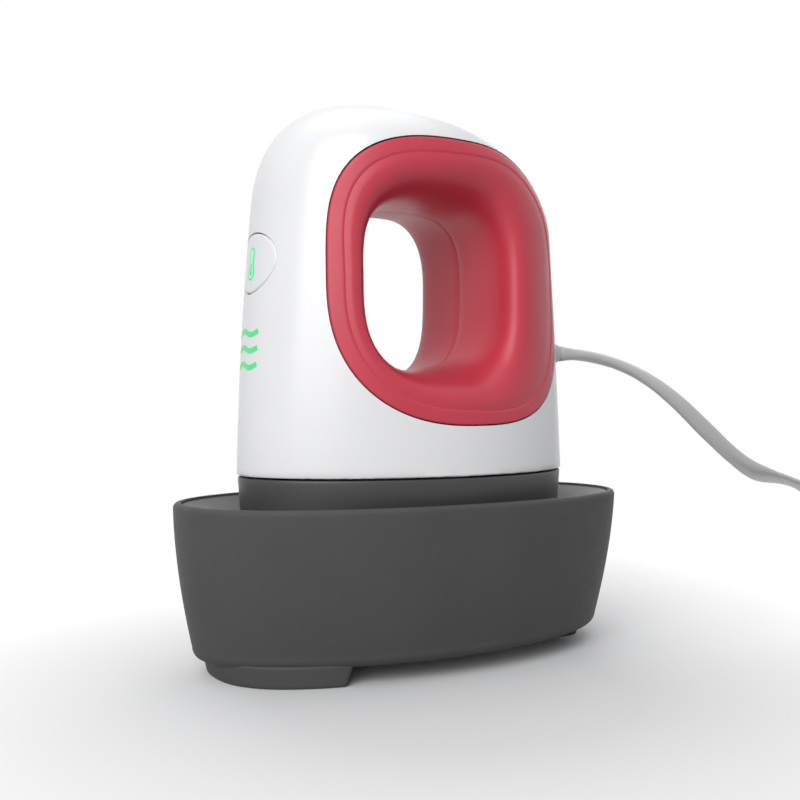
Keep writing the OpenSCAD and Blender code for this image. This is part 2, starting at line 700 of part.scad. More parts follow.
module heat_plate() {
    a = plate_half_length;
    b = plate_half_width;
    n = plate_round;
    rim_top = plate_face + plate_rim;
    step = skirt_wall + 0.4;
    color([0.2, 0.2, 0.21]) in_body() difference() {
        union() {
            loft([
                oval(a - 0.8, b - 0.8, n, plate_face),
                oval(a - 0.25, b - 0.25, n, plate_face + 0.25),
                oval(a, b, n, plate_face + 0.8),
                oval(a, b, n, rim_top),
                oval(a - step, b - step, n, rim_top),
                oval(a - step, b - step, n, plate_top)]);
            translate([0, 0, plate_top - TOUCH]) clamp_places()
                cylinder(r = plate_boss_radius, h = element_radius + TOUCH, $fn = PIN_SIDES);
        }
        element_path(element_radius + PLAY / 2);
        translate([0, 0, plate_face + 2]) {
            clamp_places() cylinder(r = small_shank, h = plate_thickness + 4, $fn = PIN_SIDES);
            four(standoff_place) cylinder(r = big_shank, h = plate_thickness, $fn = PIN_SIDES);
        }
    }
}

module heating_element() {
    color([0.62, 0.6, 0.56]) in_body() union() {
        element_path(element_radius);
        for (sy = [-1, 1]) translate([terminal_x, sy * element_half_gap, plate_top])
            cylinder(r = element_radius, h = mat_top - 2 - plate_top, $fn = PIN_SIDES);
    }
}

module element_clamp() {
    color([0.7, 0.7, 0.72]) in_body() difference() {
        slab(clamp_half_length, plate_boss_y + small_head_radius + 0.4, 2, clamp_bottom, clamp_wall);
        translate([0, 0, clamp_bottom - 1]) {
            clamp_places() cylinder(r = small_clear, h = clamp_wall + 2, $fn = PIN_SIDES);
            translate([sensor_x, 0, 0]) cylinder(r = small_clear, h = clamp_wall + 2, $fn = PIN_SIDES);
        }
    }
}

module plate_screws() {
    color("silver") in_body() translate([0, 0, clamp_top]) clamp_places()
        screw(small_shank, clamp_wall + element_radius + 3, small_head_radius, small_head_height);
}

module insulation_mat() {
    through = mat_thickness + 2;
    color([0.92, 0.9, 0.84]) in_body() difference() {
        slab(plate_half_length - mat_inset[0], plate_half_width - mat_inset[1], plate_round,
            clamp_top, mat_thickness);
        translate([0, 0, clamp_top - 1]) {
            clamp_places() cylinder(r = small_head_radius + 0.6, h = through, $fn = PIN_SIDES);
            four(standoff_place) cylinder(r = standoff_radius + 0.3, h = through, $fn = PIN_SIDES);
            translate([sensor_x, 0, 0]) cylinder(r = small_clear, h = through, $fn = PIN_SIDES);
        }
        translate([terminal_x - element_radius - 0.6, -plate_half_width, clamp_top - 1])
            cube([plate_half_length, 2 * plate_half_width, through]);
    }
}

module heat_shield() {
    color([0.78, 0.78, 0.8]) in_body() difference() {
        slab(plate_half_length - mat_inset[0], plate_half_width - mat_inset[1], plate_round,
            mat_top, shield_wall);
        translate([0, 0, mat_top - 1]) {
            four(standoff_place) cylinder(r = standoff_radius + 0.3, h = 3, $fn = PIN_SIDES);
            translate([sensor_x, 0, 0]) cylinder(r = small_clear, h = 3, $fn = PIN_SIDES);
            for (sy = [-1, 1]) translate([terminal_x, sy * element_half_gap, 0])
                cylinder(r = lead_hole_radius, h = 3, $fn = PIN_SIDES);
        }
    }
}

module standoffs() {
    color([0.9, 0.88, 0.82]) in_body() translate([0, 0, plate_top]) four(standoff_place)
        difference() {
            cylinder(r = standoff_radius, h = bulkhead_height - plate_top, $fn = PIN_SIDES);
            translate([0, 0, -1])
                cylinder(r = big_shank + PLAY, h = bulkhead_height - plate_top + 2, $fn = PIN_SIDES);
        }
}

module hanger_screws() {
    color("silver") in_body() translate([0, 0, bulkhead_top]) four(standoff_place)
        screw(big_shank, bulkhead_top - plate_top + 3, head_radius, head_height);
}

module thermistor() {
    r = 1.1;
    color([0.85, 0.55, 0.2]) in_body() union() {
        rod_x(r, sensor_x - 8, sensor_x + 0.5, 0, plate_top + r);
        translate([sensor_x, 0, plate_top + r])
            cylinder(r = 0.5, h = power_board_bottom - plate_top - r, $fn = PIN_SIDES);
    }
}

module thermal_fuse() {
    r = 1.8;
    color([0.95, 0.95, 0.9]) in_body() translate([terminal_x + 5, -5, plate_top + r])
        rotate([-90, 0, 0]) cylinder(r = r, h = 10, $fn = PIN_SIDES);
}

// ---- tubes that follow a route ------------------------------------------------------------

function unit(v) = v / norm(v);
function heading(route, k) = unit(route[min(k + 1, len(route) - 1)] - route[max(k - 1, 0)]);
// A tube along a route. The guide is a direction that the route never runs along
module tube(route, d, sides, guide) {
    loft([for (k = [0:len(route) - 1]) let (
        ahead = heading(route, k),
        side = unit(cross(guide, ahead)),
        up = cross(ahead, side))
        [for (i = [0:sides - 1])
            route[k] + d / 2 * (cos(360 * i / sides) * side + sin(360 * i / sides) * up)]]);
}

module element_leads() {
    x = terminal_x;
    y = element_half_gap;
    top = power_board_top;
    end = terminal_block_end;
    color([0.75, 0.1, 0.1]) in_body() for (sy = [-1, 1])
        tube([
            [x, sy * y, mat_top - 2], [x, sy * y, mat_top + 2], [x, sy * y, bulkhead_top],
            [x, sy * y, power_board_bottom - 1], [x - 1, sy * (y - 0.8), top + 1.2],
            [x - 3.2, sy * (y - 2.2), top + 2.7], [end + 1.2, sy * 4.5, top + 2.9],
            [end, sy * 4.5, top + 2.9]],
            1.5, 8, [0, 1, 0]);
}

// ---- boards -------------------------------------------------------------------------------

terminal_block_end = power_board_size[0] / 2 - 0.5;
terminal_block_size = [7, 12, 8.4];

module power_board() {
    size = power_board_size;
    color([0.1, 0.4, 0.2]) in_body() difference() {
        translate([-size[0] / 2, -size[1] / 2, power_board_bottom])
            cube([size[0], size[1], circuit_wall]);
        translate([0, 0, power_board_bottom - 1]) four(power_screw_place)
            cylinder(r = small_clear, h = circuit_wall + 2, $fn = PIN_SIDES);
    }
}

module power_board_screws() {
    color("silver") in_body() translate([0, 0, power_board_top]) four(power_screw_place)
        screw(small_shank, circuit_wall + board_post_height - 1, small_head_radius, small_head_height);
}

module on_power_board(x, y, size) {
    in_body() translate([x - size[0] / 2, y - size[1] / 2, power_board_top]) cube(size);
}

module terminal_block() {
    size = terminal_block_size;
    color([0.1, 0.4, 0.25]) on_power_board(terminal_block_end - size[0] / 2, 0, size);
}

module transformer() {
    color([0.85, 0.75, 0.2]) on_power_board(-8, 0, [13, 14, 12.5]);
}

module filter_capacitor() {
    color([0.85, 0.7, 0.15]) on_power_board(6, -8, [11, 6, 10]);
}

module triac() {
    color([0.1, 0.1, 0.1]) on_power_board(5, 0, [4.5, 9, 14]);
}

module mains_fuse() {
    r = 2.6;
    color([0.9, 0.9, 0.85]) in_body() rod_x(r, 0.5, 12.5, 8.3, power_board_top + r);
}

module control_board() {
    low = board_screw_heights[0];
    high = board_screw_heights[1];
    color([0.1, 0.4, 0.2]) difference() {
        translate([-board_front, -board_half_width, low - board_margin])
            cube([circuit_wall, 2 * board_half_width, high - low + 2 * board_margin]);
        for (z = board_screw_heights) rod_x(small_clear, -board_front - 1, 0, 0, z);
    }
}

module board_screws() {
    color("silver") for (z = board_screw_heights) translate([circuit_wall - board_front, 0, z])
        rotate([0, 90, 0]) screw(small_shank, circuit_wall + 3, small_head_radius, small_head_height);
}

module ribbon_lead() {
    half = 3.5;
    thick = 0.6;
    start = -power_board_size[0] / 2 + 3 + body_middle;
    back = circuit_wall - board_front;
    rise = board_screw_heights[0] + ribbon_end;
    color([0.75, 0.75, 0.78]) rotate([90, 0, 0]) translate([0, 0, -half])
        linear_extrude(height = 2 * half) polygon([
            [start, power_board_top], [start, power_board_top + ribbon_bend], [back + 3, rise - 4],
            [back + 2, rise + thick], [back, rise + thick], [back, rise], [back + 1.6, rise],
            [back + 2.4, rise - 4.4], [start - thick, power_board_top + ribbon_bend - 0.2],
            [start - thick, power_board_top]]);
}

switch_front = -board_front - switch_size[1];
button_inside = shell_wall + button_play;
button_back = nose_at(0, button_middle) + button_inside + 1.6;

module switch_body() {
    w = switch_size[0];
    color([0.15, 0.15, 0.16]) difference() {
        translate([switch_front, -w / 2, button_middle - w / 2]) cube([switch_size[1], w, w]);
        rod_x(plunger_radius + PLAY / 2, switch_front - 1, 1 - board_front, 0, button_middle);
    }
}

module switch_plunger() {
    color([0.8, 0.8, 0.8]) union() {
        rod_x(plunger_radius, button_back, -board_front - button_travel - 1, 0, button_middle);
        rod_x(plunger_radius + 0.6, button_back, switch_front - button_travel - PLAY, 0, button_middle);
    }
}

module light_guide() {
    low = light_heights[0] - 1.2;
    high = light_heights[2] + 1.2;
    half = light_half_width + 0.3;
    front = nose_at(half, light_heights[1], shell_wall) + 0.4;
    color([0.8, 0.95, 0.9]) translate([front, -half, low])
        cube([-board_front - front, 2 * half, high - low]);
}

// ---- button -------------------------------------------------------------------------------

BUTTON_SIDES = 36;
// A ring of the button: its outline drawn to a share and grown, at a depth behind the nose
function button_ring(share, grow, depth) = [for (i = [0:BUTTON_SIDES - 1]) let (
    p = pick_edge(360 * i / BUTTON_SIDES, grow),
    y = p[0] * share,
    z = button_middle + (p[1] - button_middle) * share)
    [nose_at(y, z) + depth, y, z]];

module control_button() {
    inside = button_inside;
    color([0.95, 0.95, 0.95]) loft([
        for (share = [0.1, 0.4, 0.7, 0.95]) button_ring(share, 0, 0),
        button_ring(1, 0, 0.25), button_ring(1, 0, inside), button_ring(1, button_flange, inside),
        button_ring(1, button_flange, inside + 0.9),
        [for (p = button_ring(0.5, 0, 0)) [button_back, p[1], p[2]]]]);
}

// ---- cord ---------------------------------------------------------------------------------

cord_radius = cord_diameter / 2;
lead_place = throat_middle[0] + throat_half[0] + liner_wall + lead_room;
sheath_start = lead_place + 2;
relief_start = relief_end - relief_length;

module strain_relief() {
    b = body_at(cord_height);
    tail = b[0] + b[1];
    wall_in = tail - shell_wall;
    color([0.72, 0.72, 0.7]) translate([0, 0, cord_height]) rotate([0, 90, 0])
        rotate_extrude(angle = 360) polygon([
            [cord_radius + PLAY / 2, relief_start], [cord_radius + 1, relief_start],
            [relief_collar, wall_in - 3.4],
            [relief_collar, wall_in - 0.8], [relief_neck, wall_in - 0.8], [relief_neck, tail + 0.3],
            [relief_tip + 0.1, relief_end - 0.5], [relief_tip - 0.1, relief_end],
            [cord_radius + PLAY / 2, relief_end]]);
}

module inner_cord() {
    color([0.78, 0.78, 0.76]) rod_x(cord_radius, sheath_start, relief_end, 0, cord_height);
}

clamp_half = [5.8, 5.2];
clamp_start = sheath_start + 0.4;
clamp_length = relief_start - 0.4 - clamp_start;
module cord_clamp() {
    color([0.2, 0.2, 0.2]) difference() {
        translate([clamp_start, -clamp_half[0], cord_height - clamp_half[1]])
            cube([clamp_length, 2 * clamp_half[0], 2 * clamp_half[1]]);
        rod_x(cord_radius, clamp_start - 1, relief_start, 0, cord_height);
        for (sy = [-1, 1])
            translate([clamp_start + clamp_length / 2, sy * 4, cord_height - clamp_half[1] + 1])
                cylinder(r = small_shank, h = 2 * clamp_half[1], $fn = PIN_SIDES);
    }
}

module clamp_screws() {
    color("silver") for (sy = [-1, 1])
        translate([clamp_start + clamp_length / 2, sy * 4, cord_height + clamp_half[1]])
            screw(small_shank, 2 * clamp_half[1] - 2, small_head_radius, small_head_height);
}

module inner_leads() {
    x = sheath_start;
    z = cord_height;
    block = terminal_block_end - terminal_block_size[0] / 2 + body_middle;
    top = power_board_top + terminal_block_size[2];
    color([0.3, 0.2, 0.15]) for (k = [-1:1])
        tube([
            [x, 1.4 * k, z], [x - 0.7, 1.4 * k, z], [x - 1.4, 1.5 * k, z - 0.6],
            [x - 1.9, 1.6 * k, z - 1.8], [x - 2, 1.8 * k, z - 4], [x - 2, 2.6 * k, z - 14],
            [block, 3.8 * k, top + 4], [block, 3.8 * k, top]],
            1.2, 8, [0, 1, 0]);
}

// The lead's route over the table, from the strain relief to the coil
coil_bottom = 0.05 + tie_wall + 0.25 + cord_radius;
run_start = [relief_end + PLAY, 0, cord_height];
run_end = [269, 44.5, coil_bottom];
run_route = [
    run_start, [54.8, 0.3, 75.3], [62.6, 1.2, 74.5], [70.4, 1.9, 73], [78.1, 2.5, 70.7],
    [85.6, 3, 67.5], [92.9, 3.7, 63.7], [100.1, 4.6, 59.5], [107.1, 5.8, 55.2],
    [114.2, 7.3, 51.2], [121.3, 9.3, 47.5], [128.4, 11.7, 44.4], [135.6, 14.4, 41.7],
    [142.9, 17.5, 39.6], [150.3, 20.9, 38], [157.7, 24.4, 36.7], [165.2, 28, 35.6],
    [172.7, 31.5, 34.6], [180.2, 35, 33.5], [187.7, 38.3, 32.2], [195.1, 41.3, 30.6],
    [202.5, 43.9, 28.4], [209.8, 46.1, 25.5], [216.9, 47.9, 22], [224.1, 49.3, 18.1],
    [231.2, 50.5, 14.1], [238.6, 51.4, 10.5], [246.2, 51.6, 7.2], [254, 50.8, 4.8],
    [261.9, 48.7, 3.6], run_end];

module cord_run() {
    color([0.78, 0.78, 0.76]) tube(run_route, cord_diameter, 10, [0, 0, 1]);
}

// Four layers of turns: the radius swings in and out, and each swing back climbs one layer
LAYERS = 4;
LOOP_RINGS = 24;
coil_angle = 60;
coil_outer_radius = coil_inner_radius + coil_layer_turns * coil_pitch;
coil_swing = 360 * coil_layer_turns;
coil_start = run_end + cord_diameter * [sin(coil_angle), -cos(coil_angle), 0];
coil_middle = coil_start - coil_outer_radius * [cos(coil_angle), sin(coil_angle), 0];
function ease(t) = let (c = clamp01(t)) c * c * (3 - 2 * c);
function coil_radius_at(turn) = let (swing = turn / coil_swing, back = abs(swing - 2 * round(swing / 2)))
    coil_outer_radius - (coil_outer_radius - coil_inner_radius) * back;
function coil_rise_at(turn) = ease((turn - coil_swing + 90) / 180)
    + ease((turn - 2 * coil_swing + 90) / 180) + ease((turn - 3 * coil_swing + 90) / 180);
function coil_at(turn) = coil_middle + [
    coil_radius_at(turn) * cos(coil_angle - turn),
    coil_radius_at(turn) * sin(coil_angle - turn),
    coil_pitch * coil_rise_at(turn)];
coil_turn = LAYERS * coil_swing;
coil_steps = round(coil_turn / 360 * LOOP_RINGS);
coil_end_way = [sin(coil_angle - coil_turn), -cos(coil_angle - coil_turn), 0];
coil_end = coil_at(coil_turn) + cord_diameter * coil_end_way;
coil_route = concat(
    [run_end], [for (k = [0:coil_steps]) coil_at(coil_turn * k / coil_steps)], [coil_end]);

module cord_coil() {
    color([0.78, 0.78, 0.76]) tube(coil_route, cord_diameter, 6, [0, 0, 1]);
}

module cord_tie() {
    turn = 200;
    inner = coil_inner_radius - cord_radius - 0.5;
    outer = coil_outer_radius + cord_radius + 0.3;
    low = coil_bottom - cord_radius - 0.25;
    high = coil_bottom + (LAYERS - 1) * coil_pitch + cord_radius + 0.25;
    color([0.12, 0.12, 0.12]) translate([coil_middle[0], coil_middle[1], 0]) rotate([0, 0, turn])
        difference() {
            translate([inner - tie_wall, -tie_width / 2, low - tie_wall])
                cube([outer - inner + 2 * tie_wall, tie_width, high - low + 2 * tie_wall]);
            translate([inner, -tie_width, low]) cube([outer - inner, 2 * tie_width, high - low]);
        }
}

plug_axis = plug_half[1] + 0.1;
tail_reach_out = 38;
tail_end = coil_end + tail_reach_out * coil_end_way + [0, 0, plug_axis - coil_end[2]];
function tail_at(t) = coil_end + tail_reach_out * t * coil_end_way
    + [0, 0, (plug_axis - coil_end[2]) * ease((t - 0.08) / 0.84)];

module cord_tail() {
    color([0.78, 0.78, 0.76]) tube([for (k = [0:8]) tail_at(k / 8)], cord_diameter, 10, [0, 0, 1]);
}

module along_plug() {
    translate(tail_end) rotate([0, 0, atan2(coil_end_way[1], coil_end_way[0])])
        rotate([90, 0, 90]) children();
}

module plug_body() {
    w = plug_half[0];
    h = plug_half[1];
    l = plug_length;
    color([0.78, 0.78, 0.76]) along_plug() loft([
        oval(cord_radius + 0.9, cord_radius + 0.9, 2, 0, 0, 32),
        oval(cord_radius + 1.6, cord_radius + 1.6, 2, l * 0.36, 0, 32),
        oval(w * 0.62, h * 0.72, 2.4, l * 0.42, 0, 32),
        oval(w * 0.92, h * 0.95, 3, l * 0.52, 0, 32),
        oval(w, h, 3.4, l * 0.66, 0, 32),
        oval(w, h, 3.4, l - 0.8, 0, 32),
        oval(w - 0.8, h - 0.8, 3.4, l, 0, 32)]);
}

module plug_pins() {
    color("silver") along_plug() for (s = [-1, 1])
        translate([s * blade_spacing / 2 - blade_size[0] / 2, -blade_size[1] / 2, plug_length])
            cube(blade_size);
}

function route_length(route, k = 0) =
    k >= len(route) - 1 ? 0 : norm(route[k + 1] - route[k]) + route_length(route, k + 1);
// Least distance between turns: every point against all that lie more than half a turn further on
coil_gap = min([for (i = [0:len(coil_route) - 14]) min([for (j = [i + 13:len(coil_route) - 1])
    norm(coil_route[j] - coil_route[i])])]) - cord_diameter;
echo(coil_gap = coil_gap);
echo(run = route_length(run_route), coil = route_length(coil_route));
echo(coil_middle = coil_middle, tail_end = tail_end);

base_outer_shell();
base_inner_tray();
base_screws();
rest_pads();
front_foot();
rear_foot();
outer_shell();
left_grip_liner();
right_grip_liner();
liner_screws();
lower_skirt();
skirt_screws();
heat_plate();
heating_element();
element_clamp();
plate_screws();
insulation_mat();
heat_shield();
standoffs();
hanger_screws();
thermistor();
thermal_fuse();
element_leads();
power_board();
power_board_screws();
terminal_block();
transformer();
filter_capacitor();
triac();
mains_fuse();
control_board();
board_screws();
ribbon_lead();
switch_body();
switch_plunger();
light_guide();
control_button();
strain_relief();
inner_cord();
cord_clamp();
clamp_screws();
inner_leads();
cord_run();
cord_coil();
cord_tie();
cord_tail();
plug_body();
plug_pins();
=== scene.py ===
import math

import bmesh
import bpy
import numpy as np
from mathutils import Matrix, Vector
from mathutils.bvhtree import BVHTree


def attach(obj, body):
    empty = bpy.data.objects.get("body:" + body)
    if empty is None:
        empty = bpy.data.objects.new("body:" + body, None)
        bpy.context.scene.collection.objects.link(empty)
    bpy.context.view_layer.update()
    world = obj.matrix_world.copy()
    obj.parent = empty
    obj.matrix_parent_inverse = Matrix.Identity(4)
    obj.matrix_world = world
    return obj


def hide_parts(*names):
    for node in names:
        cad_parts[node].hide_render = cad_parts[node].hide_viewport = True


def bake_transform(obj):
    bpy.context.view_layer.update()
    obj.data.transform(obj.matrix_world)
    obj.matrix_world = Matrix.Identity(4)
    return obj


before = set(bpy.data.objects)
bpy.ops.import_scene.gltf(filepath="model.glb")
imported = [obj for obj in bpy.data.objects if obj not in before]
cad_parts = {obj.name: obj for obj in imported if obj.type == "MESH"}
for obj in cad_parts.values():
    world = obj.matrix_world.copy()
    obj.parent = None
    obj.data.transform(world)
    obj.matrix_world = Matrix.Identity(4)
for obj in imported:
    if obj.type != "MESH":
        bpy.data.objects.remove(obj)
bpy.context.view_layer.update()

MM = 0.001
scene = bpy.context.scene
scene.view_settings.view_transform = "Standard"

# ---- camera ------------------------------------------------------------------------------

camera_data = bpy.data.cameras.new("view_camera")
camera = bpy.data.objects.new("view_camera", camera_data)
scene.collection.objects.link(camera)
camera.location = (-0.1381, -0.2320, 0.0637)
camera.rotation_euler = (math.radians(90), 0, math.radians(-30.3))
camera_data.sensor_fit = "HORIZONTAL"
camera_data.sensor_width = 36
camera_data.lens = 48.51
camera_data.shift_y = -3 / 800
camera_data.clip_start = 0.01
scene.camera = camera

# ---- plain shapes ------------------------------------------------------------------------


def clamp01(v):
    return np.clip(v, 0.0, 1.0)


def corner(t, n=2.0):
    """A quarter of a rounded corner: 1 at t = 0 and 0 at t = 1."""
    return (1 - clamp01(t) ** n) ** (1 / n)


def power(v, p):
    return np.sign(v) * np.abs(v) ** p


def full_turn(count):
    """Even turns round a circle, in radians."""
    return np.arange(count) * 2 * math.pi / count


def oval(a, b, n, z, x=0.0, count=192):
    """A ring of points round a rounded outline with half sizes a and b and roundness n."""
    t = full_turn(count)
    return np.column_stack([x + a * power(np.cos(t), 2 / n), b * power(np.sin(t), 2 / n),
                            np.full(count, float(z))])


def smooth(t):
    t = clamp01(t)
    return t * t * (3 - 2 * t)


def new_mesh(name, verts, faces, material=None, soft=True):
    """A mesh object from points in millimetres."""
    mesh = bpy.data.meshes.new(name)
    mesh.from_pydata([tuple(p) for p in np.asarray(verts) * MM], [], faces)
    mesh.validate()
    if soft:
        mesh.shade_smooth()
    obj = bpy.data.objects.new(name, mesh)
    scene.collection.objects.link(obj)
    if material:
        mesh.materials.append(material)
    return obj


def grid_faces(rows, count, closed=True):
    """Four-sided faces between rows of points, whose rows are closed or open."""
    faces = []
    for r in range(rows - 1):
        low, high = r * count, (r + 1) * count
        for i in range(count if closed else count - 1):
            j = (i + 1) % count
            faces.append((low + i, low + j, high + j, high + i))
    return faces


def loft(name, rings, material=None, cap_start=False, cap_end=False, soft=True):
    """A skin over rings of points that each go round the same way, upwards."""
    count = len(rings[0])
    verts = np.vstack(rings)
    faces = grid_faces(len(rings), count)
    extra = []
    total = len(verts)
    if cap_start:
        extra.append(np.mean(rings[0], axis=0))
        faces += [(total, (i + 1) % count, i) for i in range(count)]
        total += 1
    if cap_end:
        last = (len(rings) - 1) * count
        extra.append(np.mean(rings[-1], axis=0))
        faces += [(total, last + i, last + (i + 1) % count) for i in range(count)]
    if extra:
        verts = np.vstack([verts, extra])
    return new_mesh(name, verts, faces, material, soft)


def cylinder(r, low, high, x=0.0, y=0.0, axis="z", sides=32, edge=0.15, material=None, name="rod"):
    """A round rod with softened edges. Its middle runs through (x, y) across the axis."""
    t = full_turn(sides)
    levels = [(r - edge, low), (r - edge * 0.3, low + edge * 0.3), (r, low + edge), (r, high - edge),
              (r - edge * 0.3, high - edge * 0.3), (r - edge, high)]
    rings = []
    for radius, level in levels:
        c, s = radius * np.cos(t), radius * np.sin(t)
        flat = np.full(sides, level)
        if axis == "z":
            rings.append(np.column_stack([x + c, y + s, flat]))
        else:
            rings.append(np.column_stack([flat, x + c, y + s]))
    return loft(name, rings, material, cap_start=True, cap_end=True)


def join(name, objects):
    """Joins objects into the first one and names it."""
    bpy.ops.object.select_all(action="DESELECT")
    for o in objects:
        o.select_set(True)
    bpy.context.view_layer.objects.active = objects[0]
    bpy.ops.object.join()
    objects[0].name = name
    objects[0].data.name = name
    return objects[0]


SKIN_REACH = 2e-5
SAME_WAY = 0.9


def cut(target, tools):
    """Cuts the tools from the target, and keeps the shading of the target's own smooth skin."""
    source = target.data.copy()
    for tool in tools:
        modifier = target.modifiers.new("cut", "BOOLEAN")
        modifier.operation = "DIFFERENCE"
        modifier.solver = "EXACT"
        modifier.object = tool
    bpy.context.view_layer.update()
    graph = bpy.context.evaluated_depsgraph_get()
    result = bpy.data.meshes.new_from_object(target.evaluated_get(graph))
    target.modifiers.clear()
    target.data = result
    for tool in tools:
        bpy.data.objects.remove(tool, do_unlink=True)
    result.shade_smooth()
    # Every corner on the old skin takes the old skin's normal, and every cut wall stays flat to itself.
    tree = BVHTree.FromPolygons([v.co for v in source.vertices],
                                [tuple(p.vertices) for p in source.polygons])
    normals = [v.normal.copy() for v in source.vertices]
    out = [None] * len(result.loops)
    for poly in result.polygons:
        for li in poly.loop_indices:
            co = result.vertices[result.loops[li].vertex_index].co
            out[li] = poly.normal.copy()
            hit = tree.find_nearest(co, SKIN_REACH)
            if hit[0] is None:
                continue
            face = source.polygons[hit[2]]
            if face.normal.dot(poly.normal) < SAME_WAY:
                continue
            weight_sum = 0.0
            n = Vector((0, 0, 0))
            for vi in face.vertices:
                w = 1.0 / ((source.vertices[vi].co - co).length + 1e-6)
                n += normals[vi] * w
                weight_sum += w
            out[li] = (n / weight_sum).normalized()
    result.normals_split_custom_set(out)
    bpy.data.meshes.remove(source)


def change_faces(obj, operator):
    """Runs a bmesh operator on all of an object's faces."""
    mesh = bmesh.new()
    mesh.from_mesh(obj.data)
    operator(mesh, faces=mesh.faces)
    mesh.to_mesh(obj.data)
    mesh.free()


CORNERS = [(sx, sy) for sx in (-1, 1) for sy in (-1, 1)]

# ---- materials ---------------------------------------------------------------------------


class Nodes:
    """A small helper for building a material's nodes."""

    def __init__(self, name):
        self.material = bpy.data.materials.new(name)
        self.material.use_nodes = True
        self.tree = self.material.node_tree
        self.shader = self.tree.nodes["Principled BSDF"]
        coordinates = self.tree.nodes.new("ShaderNodeTexCoord")
        self.place = coordinates.outputs["Object"]

    def add(self, kind, **values):
        node = self.tree.nodes.new(kind)
        for key, value in values.items():
            if hasattr(node, key):
                setattr(node, key, value)
            else:
                node.inputs[key.replace("_", " ")].default_value = value
        return node

    def link(self, a, b):
        self.tree.links.new(a, b)

    def noise(self, scale, detail=3.0, roughness=0.5, stretch=None):
        node = self.add("ShaderNodeTexNoise", Scale=scale, Detail=detail, Roughness=roughness)
        source = self.place
        if stretch:
            mapping = self.add("ShaderNodeMapping")
            mapping.inputs["Scale"].default_value = stretch
            self.link(source, mapping.inputs["Vector"])
            source = mapping.outputs["Vector"]
        self.link(source, node.inputs["Vector"])
        return node.outputs["Fac"]

    def ramp(self, source, stops):
        node = self.add("ShaderNodeValToRGB")
        elements = node.color_ramp.elements
        while len(elements) < len(stops):
            elements.new(0.5)
        for element, (position, color) in zip(elements, stops):
            element.position = position
            element.color = (*color, 1.0)
        self.link(source, node.inputs["Fac"])
        return node.outputs["Color"]

    def spread(self, source, low, high):
        node = self.add("ShaderNodeMapRange")
        node.inputs["To Min"].default_value = low
        node.inputs["To Max"].default_value = high
        self.link(source, node.inputs["Value"])
        return node.outputs["Result"]

    def maths(self, operation, *values):
        """A maths node whose inputs are links or plain numbers."""
        node = self.add("ShaderNodeMath", operation=operation)
        for socket, value in zip(node.inputs, values):
            if isinstance(value, bpy.types.NodeSocket):
                self.link(value, socket)
            else:
                socket.default_value = value
        return node.outputs["Value"]

    def bump(self, source, strength, distance, after=None):
        node = self.add("ShaderNodeBump", Strength=strength, Distance=distance)
        self.link(source, node.inputs["Height"])
        if after:
            self.link(after, node.inputs["Normal"])
        return node.outputs["Normal"]


def shade(color, factor):
    return tuple(min(1.0, c * factor) for c in color)


def plastic(name, color, roughness, variation, grain=0.0, grain_scale=2500.0, coat=0.0, specular=0.5,
            wave=0.0):
    """Moulded plastic: a faint mottle in its colour and gloss, a grain, and slow waves in its skin."""
    n = Nodes(name)
    mottle = n.noise(55.0, 4.0)
    n.link(n.ramp(mottle, [(0.3, shade(color, 1 - variation)), (0.7, shade(color, 1 + variation))]),
           n.shader.inputs["Base Color"])
    fine = n.noise(420.0, 2.0)
    n.link(n.spread(fine, roughness * 0.88, min(1.0, roughness * 1.12)), n.shader.inputs["Roughness"])
    normal = None
    if wave:
        normal = n.bump(n.noise(38.0, 1.0), wave, 0.0006)
    if grain:
        normal = n.bump(n.noise(grain_scale, 2.0, 0.6), grain, 0.00006, normal)
    if normal:
        n.link(normal, n.shader.inputs["Normal"])
    n.shader.inputs["Specular IOR Level"].default_value = specular
    n.shader.inputs["Coat Weight"].default_value = coat
    n.shader.inputs["Coat Roughness"].default_value = 0.2
    return n.material


def metal(name, color, roughness, brushed=(30, 30, 900), tint=None):
    """Metal with fine drawn lines and a slow change of tone. A tint lies between its two tones."""
    n = Nodes(name)
    lines = n.noise(1.0, 3.0, 0.6, brushed)
    cloud = n.noise(60.0, 3.0)
    stops = [(0.25, shade(color, 0.82)), (0.75, shade(color, 1.08))]
    if tint:
        stops.insert(1, (0.5, tint))
    n.link(n.ramp(cloud, stops), n.shader.inputs["Base Color"])
    n.link(n.spread(lines, roughness * 0.7, roughness * 1.3), n.shader.inputs["Roughness"])
    n.link(n.bump(lines, 0.25, 0.00003), n.shader.inputs["Normal"])
    n.shader.inputs["Metallic"].default_value = 1.0
    return n.material


def glowing(name, color, strength):
    """A lit symbol: a colour with a faint mottle, and the same colour given off."""
    n = Nodes(name)
    cloud = n.noise(500.0, 2.0)
    tone = n.ramp(cloud, [(0.3, shade(color, 0.93)), (0.7, shade(color, 1.05))])
    n.link(tone, n.shader.inputs["Base Color"])
    n.link(tone, n.shader.inputs["Emission Color"])
    n.shader.inputs["Emission Strength"].default_value = strength
    n.shader.inputs["Roughness"].default_value = 0.35
    return n.material


